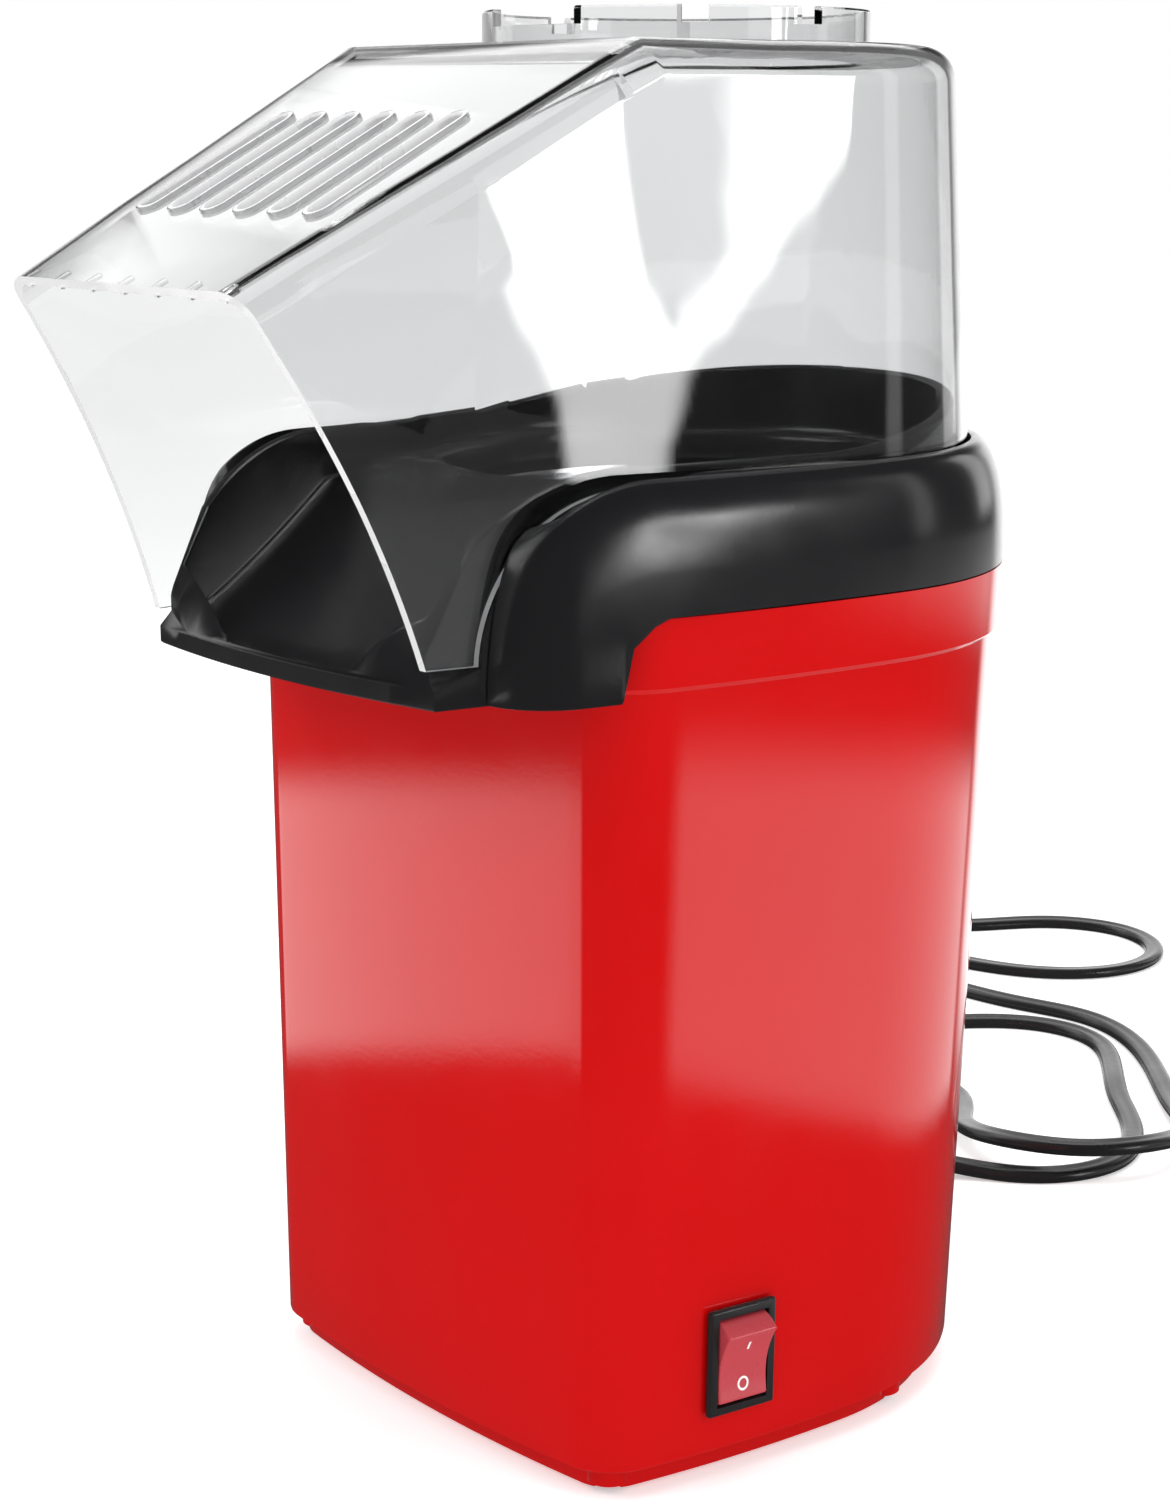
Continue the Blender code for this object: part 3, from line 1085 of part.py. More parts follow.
def make_leads():
    """Internal wiring, laid clear of the motor, the legs and the board."""
    inside, direction = body_point(CORD_EXIT_HEADING, CORD_EXIT_Z, -BODY_WALL - 9.0 * MM)
    frame = switch_matrix()
    tail_x = -SWITCH_DEPTH - GAP * 3 - 7.0 * MM
    low_tab, high_tab = (frame @ Vector((tail_x, 0.0, z)) for z in (-4.5 * MM, 4.5 * MM))
    low_way, high_way = (frame @ Vector((tail_x - 4.0 * MM, 0.0, z)) for z in (-4.5 * MM, 4.5 * MM))
    r = 1.1 * MM
    z = 8.0 * MM
    live = [
        (inside.x + 3.0 * MM, inside.y, CORD_EXIT_Z), (inside.x + 8.0 * MM, inside.y - 7.0 * MM, 12.0 * MM),
        (4.0 * MM, 28.0 * MM, z), (20.0 * MM, 18.0 * MM, z), (24.0 * MM, 0.0, z),
        (25.0 * MM, -16.0 * MM, 11.0 * MM), tuple(low_way), tuple(low_tab),
    ]
    neutral = [
        (inside.x - 3.0 * MM, inside.y, CORD_EXIT_Z), (inside.x - 6.0 * MM, inside.y - 8.0 * MM, 14.0 * MM),
        (-27.0 * MM, 26.0 * MM, 18.0 * MM), (-31.0 * MM, 14.0 * MM, 17.0 * MM),
        (-31.0 * MM, 9.0 * MM, 18.4 * MM),
    ]
    floor = HOUSING_FLOOR_Z
    front = HOOD_AXIS_Y - HOUSING_R
    heater = [
        tuple(high_tab), tuple(high_way), (26.0 * MM, front + 6.4 * MM, floor - 20.0 * MM),
        (18.0 * MM, front + 0.4 * MM, floor - 14.0 * MM), (9.0 * MM, front - 7.6 * MM, floor + 2.0 * MM),
        (8.0 * MM, front - 8.1 * MM, floor + 18.0 * MM), (8.0 * MM, front - 2.4 * MM, floor + 29.5 * MM),
    ]
    motor = [
        (-30.0 * MM, -2.0 * MM, 18.4 * MM), (-28.0 * MM, -6.0 * MM, 14.0 * MM),
        (-18.0 * MM, -6.0 * MM, 9.0 * MM),
        (-6.0 * MM, -1.0 * MM, 9.0 * MM), (-5.0 * MM, 1.0 * MM, MOTOR_Z[0] - 0.8 * MM),
    ]
    for name, points, look in (
        ("lead_live", live, WIRE_RED), ("lead_neutral", neutral, WIRE_WHITE),
        ("lead_heater", heater, WIRE_RED), ("lead_motor", motor, WIRE_WHITE),
    ):
        wire(name, smooth_path(points, 14), r, look, 1)


# ---------------------------------------------------------------- mains cord
LIE = CORD_D / 2.0  # height of the cord's centre where it lies on the table
OVER = LIE + CORD_D + 1.0 * MM  # and where it passes over itself
PLUG_Z = 7.0 * MM
PLUG_SIZE = (32.0 * MM, 23.0 * MM, 13.0 * MM)
BLADE_SIZE = (16.0 * MM, 1.5 * MM, 6.3 * MM)
BLADE_SPACING = 12.7 * MM


def relief_matrix():
    point, direction = body_point(CORD_EXIT_HEADING, CORD_EXIT_Z)
    return outward_matrix(point, direction, CORD_EXIT_Z)


def cord_route():
    """The cord's route in body coordinates, chosen by hand: from the strain relief down to the
    table, then in two loose loops and a third behind them, to the plug behind the body."""
    start = relief_matrix() @ Vector((0.0, 0.0, RELIEF_LENGTH + GAP))
    ahead = relief_matrix() @ Vector((0.0, 0.0, RELIEF_LENGTH + GAP + 7.0 * MM))
    over = OVER / MM
    on_table = [
        (-34.0, 97.0, 11.4), (-31.0, 110.0, 5.6), (-19.0, 121.0, 0.0), (-6.0, 130.0, 0.0),
        (-1.0, 151.0, 0.0), (-16.0, 173.0, 0.0), (-35.0, 187.0, 0.0), (-52.0, 206.0, 0.0),
        (-69.0, 222.0, 0.0),
        (-90.0, 221.0, 0.0), (-105.0, 206.0, 0.0), (-115.0, 183.0, 0.0), (-138.0, 168.0, 0.0),
        (-164.0, 178.0, 0.0), (-171.0, 203.0, 0.0), (-157.0, 225.0, 0.0), (-129.0, 226.0, 0.0),
        (-107.0, 228.0, 0.0), (-86.0, 236.0, 0.0), (-64.0, 229.0, 0.0), (-42.0, 212.0, 0.0),
        (-22.0, 193.0, 0.0), (-2.0, 178.0, over - 4.0), (8.0, 156.0, over), (-1.0, 134.0, over),
        (-23.0, 126.0, over - 0.4), (-44.0, 136.0, over - 4.4),
        (-57.0, 156.0, 0.0), (-76.0, 162.0, 0.0), (-96.0, 155.0, 0.0), (-122.0, 142.0, 0.0),
        (-156.0, 140.0, 0.0), (-186.0, 158.0, 0.0), (-200.0, 190.0, 0.0), (-194.0, 222.0, 0.0),
        (-172.0, 243.0, 0.0), (-143.0, 247.0, 0.0), (-121.0, 256.0, 0.0), (-107.0, 277.0, 0.0),
        (-113.0, 303.0, 0.0), (-138.0, 315.0, 0.0), (-162.0, 302.0, 0.0), (-170.0, 279.0, 0.0),
        (-186.0, 264.0, 0.0), (-203.0, 259.0, 5.2), (-216.0, 256.0, 6.6), (-224.0, 254.0, 7.0),
    ]
    return [tuple(start), tuple(ahead)] + [(x * MM, y * MM, max(z * MM, LIE)) for x, y, z in on_table]


def make_cord():
    r = RELIEF_NECK_R
    relief_profile = [
        (0.0, RELIEF_LENGTH), (CORD_D / 2 + 0.6 * MM, RELIEF_LENGTH), (r + 1.2 * MM, 3.0 * MM),
        (r + 1.8 * MM, 3.2 * MM), (r + 1.8 * MM, 4 * GAP), (r, 4 * GAP), (r, -BODY_WALL - 3 * GAP),
        (r + 1.0 * MM, -BODY_WALL - 3 * GAP), (r + 1.0 * MM, -BODY_WALL - 2.6 * MM),
        (0.0, -BODY_WALL - 2.6 * MM),
    ]
    relief = add("strain_relief", turned("strain_relief", relief_profile, 20), RUBBER)
    relief.matrix_local = relief_matrix()
    path = smooth_path(cord_route(), 76)
    wire("power_cord", [tuple(p) for p in path], CORD_D / 2.0, BLACK, 2)
    end = Vector(path[-1])
    along = (end - Vector(path[-2])).normalized()
    plug = empty("plug_frame", end + along * GAP, AXIS, (0.0, 0.0, math.atan2(along.y, along.x)))
    long, wide, tall = PLUG_SIZE
    sections = ((0.0, CORD_D + 1.6 * MM, CORD_D + 1.0 * MM), (0.3, 10.0 * MM, 8.0 * MM),
                (0.45, wide * 0.8, tall * 0.9), (0.62, wide, tall), (0.94, wide, tall),
                (1.0, wide * 0.9, tall * 0.85))
    rings = []
    for share, width, height in sections:
        ring = []
        for k in range(16):
            a = 2.0 * math.pi * (k + 0.5) / 16
            cy = math.copysign(abs(math.cos(a)) ** 0.6, math.cos(a)) * width / 2.0
            cz = math.copysign(abs(math.sin(a)) ** 0.6, math.sin(a)) * height / 2.0
            ring.append((long * share, cy, cz))
        rings.append(ring)
    add("plug_body", loft("plug_body", rings), BLACK, plug)
    for k, side in enumerate((-1, 1)):
        blade = box("blade", BLADE_SIZE, (long + GAP + BLADE_SIZE[0] / 2.0, 0.0, 0.0))
        add(f"plug_blade_{k + 1}", blade, BRASS, plug).location = (0.0, side * BLADE_SPACING / 2.0, 0.0)


# ---------------------------------------------------------------- build
make_outer_shell()
make_base()
make_feet_and_screws()
make_collar()
make_chute()
make_hood()
make_chamber()
make_air_path()
make_heater()
make_motor()
make_switch()
make_board()
make_leads()
make_cord()
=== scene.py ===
"""Looks of the small hot-air popcorn maker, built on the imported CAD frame."""

import json
from math import acos, asin, atan, atan2, copysign, cos, hypot, pi, sin, sqrt, tan

import bmesh
import bpy
from mathutils.bvhtree import BVHTree
from mathutils import Matrix, Vector

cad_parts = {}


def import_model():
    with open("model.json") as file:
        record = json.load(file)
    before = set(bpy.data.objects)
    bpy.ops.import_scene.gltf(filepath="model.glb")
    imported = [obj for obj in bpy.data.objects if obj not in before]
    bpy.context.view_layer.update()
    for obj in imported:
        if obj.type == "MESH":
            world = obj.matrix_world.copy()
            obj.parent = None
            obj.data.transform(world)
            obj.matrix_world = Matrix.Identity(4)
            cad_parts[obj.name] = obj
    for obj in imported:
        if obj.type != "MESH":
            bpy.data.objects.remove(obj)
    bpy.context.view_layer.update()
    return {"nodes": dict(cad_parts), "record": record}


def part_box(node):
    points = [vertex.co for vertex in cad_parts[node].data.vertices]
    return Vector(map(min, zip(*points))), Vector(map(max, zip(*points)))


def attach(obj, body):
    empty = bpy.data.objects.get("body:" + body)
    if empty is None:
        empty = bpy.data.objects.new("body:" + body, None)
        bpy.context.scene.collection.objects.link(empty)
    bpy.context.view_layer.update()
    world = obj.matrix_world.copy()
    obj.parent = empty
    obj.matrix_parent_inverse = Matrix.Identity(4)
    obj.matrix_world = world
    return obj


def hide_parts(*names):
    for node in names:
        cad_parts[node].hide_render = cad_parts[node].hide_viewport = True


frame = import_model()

MM = 0.001
DEG = pi / 180.0
GAP = 0.3 * MM
JOINTS = {joint["name"]: joint for joint in frame["record"]["behaviour"]["joints"]}
HOOD_AXIS_Y = 3.0 * MM
AXIS_Y = JOINTS["fan_spin"]["pos_m"][1] - HOOD_AXIS_Y  # body coordinates are built about this line
TO_ROW = Matrix.Translation((0.0, AXIS_Y, 0.0))

# ---- camera
VIEW_AZIMUTH = 50.515 * DEG
VIEW_ELEVATION = 12.186 * DEG
camera = bpy.data.objects.new("camera", bpy.data.cameras.new("camera"))
bpy.context.scene.collection.objects.link(camera)
back = Vector((
    sin(VIEW_AZIMUTH) * cos(VIEW_ELEVATION),
    -cos(VIEW_AZIMUTH) * cos(VIEW_ELEVATION),
    sin(VIEW_ELEVATION),
))
camera.location = (0.42387, -0.34209, 0.24616)
camera.rotation_mode = "QUATERNION"
camera.rotation_quaternion = (-back).to_track_quat("-Z", "Y")
camera.data.lens = 69.0
camera.data.sensor_width = 36.0
camera.data.clip_start = 0.01
bpy.context.scene.camera = camera


# ---- materials
def node(tree, kind):
    return tree.nodes.new("ShaderNode" + kind)


def put(target, values):
    """Sets several inputs of one shader node."""
    for name, value in values.items():
        target.inputs[name].default_value = value


def node_material(name):
    m = bpy.data.materials.new(name)
    m.use_nodes = True
    shader = m.node_tree.nodes["Principled BSDF"]
    return m, m.node_tree, shader


def noise(tree, scale, detail=3.0, rough=0.5, stretch=(1.0, 1.0, 1.0)):
    """Noise in the piece's own coordinates."""
    coordinate = node(tree, "TexCoord")
    mapping = node(tree, "Mapping")
    mapping.inputs["Scale"].default_value = stretch
    tree.links.new(coordinate.outputs["Object"], mapping.inputs["Vector"])
    n = node(tree, "TexNoise")
    put(n, {"Scale": scale, "Detail": detail, "Roughness": rough})
    tree.links.new(mapping.outputs["Vector"], n.inputs["Vector"])
    return n.outputs["Fac"]


def spread(tree, value, low, high, start=0.3, end=0.7):
    """A value remapped from start..end to low..high."""
    m = node(tree, "MapRange")
    put(m, {"From Min": start, "From Max": end, "To Min": low, "To Max": high})
    tree.links.new(value, m.inputs["Value"])
    return m.outputs["Result"]


def ramp(tree, value, colours):
    """A value turned into colours; each entry is a place from 0 to 1 and its colour."""
    r = node(tree, "ValToRGB")
    while len(r.color_ramp.elements) < len(colours):
        r.color_ramp.elements.new(0.5)
    for element, (place, colour) in zip(r.color_ramp.elements, colours):
        element.position = place
        element.color = (*colour, 1.0)
    tree.links.new(value, r.inputs["Fac"])
    return r.outputs["Color"]


def bump(tree, shader, height, strength, distance):
    b = node(tree, "Bump")
    put(b, {"Strength": strength, "Distance": distance})
    tree.links.new(height, b.inputs["Height"])
    tree.links.new(b.outputs["Normal"], shader.inputs["Normal"])


def paint(tree, shader, drift, colours, gloss, roughness):
    """A colour that drifts between two tones, and gloss that varies over the surface."""
    tones = [(0.3, colours[0]), (0.7, colours[1])]
    tree.links.new(ramp(tree, drift, tones), shader.inputs["Base Color"])
    tree.links.new(spread(tree, gloss, *roughness), shader.inputs["Roughness"])


def moulded(name, colour, shade, roughness, grain=0.05, coat=0.0, scale=900.0):
    """Moulded plastic, rubber or laminate: slight colour drift, uneven gloss and a fine skin."""
    m, tree, shader = node_material(name)
    drift, gloss = noise(tree, 14.0, 4.0), noise(tree, 45.0, 5.0, 0.6)
    paint(tree, shader, drift, (colour, shade), gloss, roughness)
    put(shader, {"Coat Weight": coat, "Coat Roughness": 0.04})
    bump(tree, shader, noise(tree, scale, 2.0), grain, 0.0002)
    return m


def clear_plastic():
    """Clear styrene with the faint ripple of a moulding."""
    m, tree, shader = node_material("clear_hood")
    tints = (0.82, 0.824, 0.828), (0.88, 0.883, 0.887)
    paint(tree, shader, noise(tree, 8.0, 2.0), tints, noise(tree, 60.0, 4.0), (0.0, 0.035))
    put(shader, {"Transmission Weight": 1.0, "IOR": 1.49})
    bump(tree, shader, noise(tree, 26.0, 2.0, 0.4), 0.10, 0.0015)
    return m


def painted_edge_highlight():
    """The same plastic on the cut edges and rims, whiter, less clear and rougher: a painted highlight for
    the light that gathers in the edges.
    """
    m, tree, shader = node_material("painted_edge_highlight")
    # paler tints and less transmission than the hood: painted highlight
    tints = (0.90, 0.90, 0.91), (0.97, 0.97, 0.975)
    paint(tree, shader, noise(tree, 30.0, 2.0), tints, noise(tree, 60.0, 4.0), (0.22, 0.34))
    put(shader, {"Transmission Weight": 0.35, "IOR": 1.3})
    return m


def spun_metal(name, colour, shade, roughness):
    """Bright metal with fine turning lines round the axis."""
    m, tree, shader = node_material(name)
    lines = noise(tree, 40.0, 3.0, 0.6, (1.0, 1.0, 60.0))
    paint(tree, shader, lines, (shade, colour), noise(tree, 30.0), roughness)
    put(shader, {"Metallic": 1.0})
    bump(tree, shader, lines, 0.12, 0.0002)
    return m


# colour, shade, roughness range, then grain, coat and the grain's scale where they differ
MOULDED = {
    "red_plastic": ((0.53, 0.002, 0.002), (0.57, 0.003, 0.004), (0.05, 0.09), 0.02, 0.3),
    "black_plastic": ((0.006, 0.006, 0.007), (0.010, 0.010, 0.011), (0.14, 0.24), 0.05),
    "rubber": ((0.016, 0.016, 0.016), (0.026, 0.026, 0.026), (0.55, 0.75), 0.25),
    "cord_sheath": ((0.008, 0.008, 0.009), (0.014, 0.014, 0.015), (0.22, 0.36), 0.12, 0.0, 400.0),
    "mica": ((0.50, 0.43, 0.33), (0.62, 0.55, 0.43), (0.45, 0.65), 0.4, 0.0, 300.0),
    "heat_plastic": ((0.78, 0.76, 0.70), (0.84, 0.82, 0.76), (0.40, 0.55), 0.15),
    "board": ((0.07, 0.22, 0.09), (0.11, 0.30, 0.13), (0.30, 0.50), 0.2),
    "rocker_red": ((0.46, 0.045, 0.060), (0.52, 0.060, 0.075), (0.24, 0.34), 0.06),
    "black_parts": ((0.010, 0.010, 0.011), (0.018, 0.018, 0.019), (0.28, 0.42), 0.18),
    "wire_white": ((0.74, 0.74, 0.71), (0.82, 0.82, 0.80), (0.35, 0.50), 0.1),
    "wire_red": ((0.52, 0.03, 0.025), (0.60, 0.05, 0.04), (0.35, 0.50), 0.1),
}
METAL = {
    "aluminium": ((0.86, 0.86, 0.87), (0.66, 0.66, 0.68), (0.10, 0.26)),
    "steel": ((0.66, 0.67, 0.70), (0.46, 0.47, 0.50), (0.22, 0.38)),
    "heater_wire": ((0.46, 0.42, 0.40), (0.28, 0.25, 0.24), (0.35, 0.55)),
    "brass": ((0.80, 0.62, 0.30), (0.62, 0.46, 0.20), (0.18, 0.34)),
}
MATERIALS = {slot: moulded(slot, *look) for slot, look in MOULDED.items()}
MATERIALS.update({slot: spun_metal(slot, *look) for slot, look in METAL.items()})
MATERIALS["clear_plastic"] = clear_plastic()
PRINT_WHITE = moulded("print_white", (0.82, 0.82, 0.80), (0.90, 0.90, 0.89), (0.40, 0.55), 0.05)
for entry in frame["record"]["subparts"]:
    cad = frame["nodes"][entry["node"]]
    cad.data.materials.clear()
    cad.data.materials.append(MATERIALS[entry["material_slot"]])


# ---- mesh helpers
CUT, ADD, KEEP = "DIFFERENCE", "UNION", "INTERSECT"


def plain_mesh(bm, name):
    mesh = bpy.data.meshes.new(name)
    bm.to_mesh(mesh)
    bm.free()
    return mesh


def mesh_of(bm, name, smooth_angle=32.0):
    bmesh.ops.recalc_face_normals(bm, faces=bm.faces)
    mesh = plain_mesh(bm, name)
    mesh.shade_smooth()
    mesh.set_sharp_from_angle(angle=smooth_angle * DEG)
    return mesh


def loft(name, rings, closed=False, smooth_angle=32.0):
    bm = bmesh.new()
    rows = [[bm.verts.new(p) for p in ring] for ring in rings]
    count = len(rows[0])
    pairs = list(zip(rows, rows[1:]))
    if closed:
        pairs.append((rows[-1], rows[0]))
    for a, b in pairs:
        for i in range(count):
            j = (i + 1) % count
            bm.faces.new((a[i], a[j], b[j], b[i]))
    if not closed:
        bm.faces.new(rows[0])
        bm.faces.new(rows[-1])
    return mesh_of(bm, name, smooth_angle)


def level(points, z):
    if callable(z):
        return [(x, y, z(y)) for x, y in points]
    return [(x, y, z) for x, y in points]


def extruded(name, points, z0, z1):
    return loft(name, [level(points, z0), level(points, z1)])


def side_prism(name, profile, half_width):
    return loft(name, [[(x, y, z) for y, z in profile] for x in (-half_width, half_width)])


def block(size, centre=(0.0, 0.0, 0.0), bevel=0.0, segments=3):
    bm = bmesh.new()
    bmesh.ops.create_cube(bm, size=1.0)
    bmesh.ops.scale(bm, vec=size, verts=bm.verts)
    if bevel:
        bmesh.ops.bevel(bm, geom=list(bm.edges), offset=bevel, segments=segments, profile=0.5,
                        affect="EDGES")
    bmesh.ops.translate(bm, vec=centre, verts=bm.verts)
    return mesh_of(bm, "block")


def rod(radius, z0, z1, centre=(0.0, 0.0), segments=48):
    bm = bmesh.new()
    bmesh.ops.create_cone(bm, cap_ends=True, segments=segments, radius1=radius, radius2=radius,
                          depth=z1 - z0)
    bmesh.ops.translate(bm, vec=(centre[0], centre[1], (z0 + z1) / 2.0), verts=bm.verts)
    return mesh_of(bm, "rod")


def turned(name, profile, segments=96, closed=True):
    """A (radius, z) profile turned about Z; points on the axis make one shared point."""
    bm = bmesh.new()
    on_axis = 1e-7
    turns = [2 * pi * k / segments for k in range(segments)]
    columns = []
    for r, z in profile:
        if r <= on_axis:
            columns.append([bm.verts.new((0.0, 0.0, z))] * segments)
        else:
            columns.append([bm.verts.new((r * cos(a), r * sin(a), z)) for a in turns])
    pairs = list(zip(columns, columns[1:]))
    if closed and not (profile[0][0] <= on_axis and profile[-1][0] <= on_axis):
        pairs.append((columns[-1], columns[0]))
    for a, b in pairs:
        for i in range(segments):
            j = (i + 1) % segments
            corners = []
            for v in (a[i], a[j], b[j], b[i]):
                if v not in corners:
                    corners.append(v)
            if len(corners) > 2:
                bm.faces.new(corners)
    return mesh_of(bm, name)


def obj(name, mesh, matrix=None):
    o = bpy.data.objects.new(name, mesh)
    bpy.context.scene.collection.objects.link(o)
    if matrix is not None:
        o.matrix_world = matrix
    return o


def carve(mesh, cutters, smooth_angle=32.0):
    """The mesh after a list of (operation, mesh) Booleans."""
    o = obj("carved", mesh)
    helpers = []
    for operation, cutter in cutters:
        c = obj("cutter", cutter)
        helpers.append(c)
        m = o.modifiers.new("cut", "BOOLEAN")
        m.operation = operation
        m.solver = "EXACT"
        m.object = c
    bpy.context.view_layer.update()
    result = bpy.data.meshes.new_from_object(o.evaluated_get(bpy.context.evaluated_depsgraph_get()))
    for used in [o] + helpers:
        bpy.data.objects.remove(used, do_unlink=True)
    result.shade_smooth()
    result.set_sharp_from_angle(angle=smooth_angle * DEG)
    return result


def moved(mesh, matrix):
    mesh.transform(matrix)
    return mesh


def piece(name, mesh, slot, body="body", nodes=(), material=None, matrix=TO_ROW):
    """A finished piece in the row frame that rides on a CAD body."""
    mesh.transform(matrix)
    mesh.materials.clear()
    mesh.materials.append(material or MATERIALS[slot])
    o = obj(name, mesh)
    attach(o, body)
    if nodes:
        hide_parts(*nodes)
    return o


def soften(o, width, segments=3, angle=40.0):
    """Small rounded edges with even shading."""
    b = o.modifiers.new("edges", "BEVEL")
    b.width = width
    b.segments = segments
    b.limit_method = "ANGLE"
    b.angle_limit = angle * DEG
    n = o.modifiers.new("normals", "WEIGHTED_NORMAL")
    n.keep_sharp = True


# ---- outlines, as in the CAD model
BODY_BACK_R, BODY_SIDE_R, BODY_CORNER_R = 59.2 * MM, 310.0 * MM, 11.8 * MM
BODY_SIDE_START, BODY_CORNER_START, BODY_FRONT_START = 89.3 * DEG, 80.0 * DEG, 7.0 * DEG
BODY_DRAFT, BODY_LEAN, BODY_WALL = 0.0244, 0.0184, 2.0 * MM
SKIRT_Z, BAND_Z, BAND_OUTSET = 5.8 * MM, 151.8 * MM, 1.25 * MM
COLLAR_Z, CHUTE_BOTTOM_Z = 164.8 * MM, 150.6 * MM
PARTING_FRONT_Y, PARTING_RUN = -59.9 * MM, 9.4 * MM
COLLAR_TOP_Z, COLLAR_EDGE_R = 188.0 * MM, 5.5 * MM
COLLAR_BACK_R, COLLAR_SIDE_R, COLLAR_CORNER_R = 64.471 * MM, 420.0 * MM, 13.0 * MM
COLLAR_CORNER_START, COLLAR_FRONT_START = 79.7 * DEG, 8.0 * DEG
TRUNK_AXIS_Y, TRUNK_AXIS_Z = -50.0 * MM, 156.0 * MM
HOOD_R, HOOD_FRONT_HALF, HOOD_SIDE_RUN = 57.121 * MM, 37.5 * MM, 128.0 * MM
HOOD_WALL, HOOD_FOOT_Z, HOOD_DRAFT, HOOD_TOP_Z = 1.8 * MM, 185.8 * MM, 0.055, 261.5 * MM
HOOD_TOP_EDGE_R, HOOD_SLOPE_Y = 6.5 * MM, -43.0 * MM
MOUTH_TOP_Y, MOUTH_TOP_Z = -121.0 * MM, 221.0 * MM
CHEEK_TIP_Y, CHEEK_TIP_Z, CHEEK_BOW = -89.5 * MM, 157.6 * MM, 3.0 * MM
SLOT_COUNT, SLOT_PITCH, SLOT_WIDTH = 6, 10.5 * MM, 4.6 * MM
SLOT_LENGTH, SLOT_FROM_MOUTH = 35.0 * MM, 24.4 * MM
RING_R, RING_WALL, RING_TOP_Z = 37.1 * MM, 2.0 * MM, 267.9 * MM
RING_NOTCH_DEPTH, RING_NOTCH_WIDTH, RING_FRONT_GAP = 3.2 * MM, 5.0 * MM, 24.0 * MM
OPENING_R, OPENING_Z, OPENING_LIP = 45.5 * MM, 183.6 * MM, 5.0 * MM
CHUTE_RIB, CHUTE_WALL, CHUTE_FRONT_Y, CHUTE_BULGE = 2.4 * MM, 2.2 * MM, -88.3 * MM, 3.5 * MM
CHUTE_LIP_Z, GUIDE_SIDE_Z, GUIDE_BACK_Z, GUIDE_CLEARANCE = 154.6 * MM, 189.0 * MM, 198.0 * MM, 1.2 * MM
CHAMBER_R, CHAMBER_WALL, CHAMBER_TOP_Z, CHAMBER_FLOOR_Z = 44.6 * MM, 0.9 * MM, 176.5 * MM, 112.0 * MM
CHAMBER_DOME, CHAMBER_SLOTS, FLANGE_WIDTH = 7.0 * MM, 14, 2.4 * MM
PLINTH_INSET, PLINTH_Z, BASE_FLOOR, BASE_RIM_Z = 3.7 * MM, 1.0 * MM, 2.4 * MM, 15.0 * MM
SLOPE = atan2(HOOD_TOP_Z - MOUTH_TOP_Z, HOOD_SLOPE_Y - MOUTH_TOP_Y)
TRUNK_R = COLLAR_TOP_Z - TRUNK_AXIS_Z
LEDGE_R = HOOD_FOOT_Z - TRUNK_AXIS_Z
HOOD_PLAY = 0.6 * MM
SWITCH_Y, SWITCH_Z, SWITCH_BOX = -30.7 * MM, 24.0 * MM, (12.8 * MM, 18.8 * MM)
FAR, BELOW, ABOVE = 0.2, 0.1, 0.3  # past the object sideways, under the collar and over the hood


def arc_outline(back_r, side_r, corner_r, corner_start, front_start, axis_y, steps):
    side_start = BODY_SIDE_START
    x_side = back_r * sin(side_start)
    x_corner = x_side - side_r * (sin(side_start) - sin(corner_start))
    x_front = x_corner - corner_r * (sin(corner_start) - sin(front_start))
    headings = (0.0, front_start, corner_start, side_start, pi)
    radii = (x_front / sin(front_start), corner_r, side_r, back_r)
    drop = sum(r * (cos(a) - cos(b)) for r, a, b in zip(radii[:3], headings, headings[1:]))
    x, y = 0.0, axis_y - back_r * cos(side_start) - drop
    half = [(x, y)]
    for r, a, b, n in zip(radii, headings, headings[1:], steps):
        for k in range(1, n + 1):
            h = a + (b - a) * k / n
            half.append((x + r * (sin(h) - sin(a)), y + r * (cos(a) - cos(h))))
        x, y = half[-1]
    return half + [(-px, py) for px, py in half[-2:0:-1]]


def body_outline(z, offset=0.0):
    grow = BODY_DRAFT * z + offset
    return arc_outline(BODY_BACK_R + grow, BODY_SIDE_R + grow, BODY_CORNER_R + grow,
                       BODY_CORNER_START, BODY_FRONT_START, BODY_LEAN * z, (10, 18, 12, 60))


def collar_outline(offset=0.0):
    return arc_outline(COLLAR_BACK_R + offset, COLLAR_SIDE_R + offset, COLLAR_CORNER_R + offset,
                       COLLAR_CORNER_START, COLLAR_FRONT_START, BODY_LEAN * COLLAR_Z, (10, 24, 48, 60))


def hood_outline(offset=0.0, front_y=None, bulge=0.0, radius=HOOD_R, across=12, shoulder=24, around=48):
    r, half, run = radius + offset, HOOD_FRONT_HALF + offset, HOOD_SIDE_RUN
    tilt = asin(r / hypot(run, half)) - atan2(half, run)
    front_y = HOOD_AXIS_Y - run if front_y is None else front_y
    side = Vector((r * cos(tilt), HOOD_AXIS_Y - r * sin(tilt)))
    front_x = side.x - tan(tilt) * (side.y - front_y)
    points = []
    for k in range(across):
        points.append((front_x * k / across, front_y - bulge * (1.0 - (k / across) ** 2)))
    points.append((front_x, front_y))
    for k in range(shoulder, -1, -1):
        turn = 90.0 * DEG * k / shoulder
        y = TRUNK_AXIS_Y - min((LEDGE_R + 0.2 * MM) * sin(turn), LEDGE_R - 0.25 * MM)
        if y > max(front_y, points[-1][1]) + 0.05 * MM:
            points.append((side.x - tan(tilt) * (side.y - y), y))
    for k in range(around + 1):
        a = -tilt + (pi / 2.0 + tilt) * k / around
        points.append((r * cos(a), HOOD_AXIS_Y + r * sin(a)))
    return points + [(-px, py) for px, py in points[-2:0:-1]]


def shoulder_height(y, radius):
    ahead = TRUNK_AXIS_Y - y
    if ahead <= 0.0:
        return TRUNK_AXIS_Z + radius
    return TRUNK_AXIS_Z + sqrt(max(radius**2 - ahead**2, 0.0))


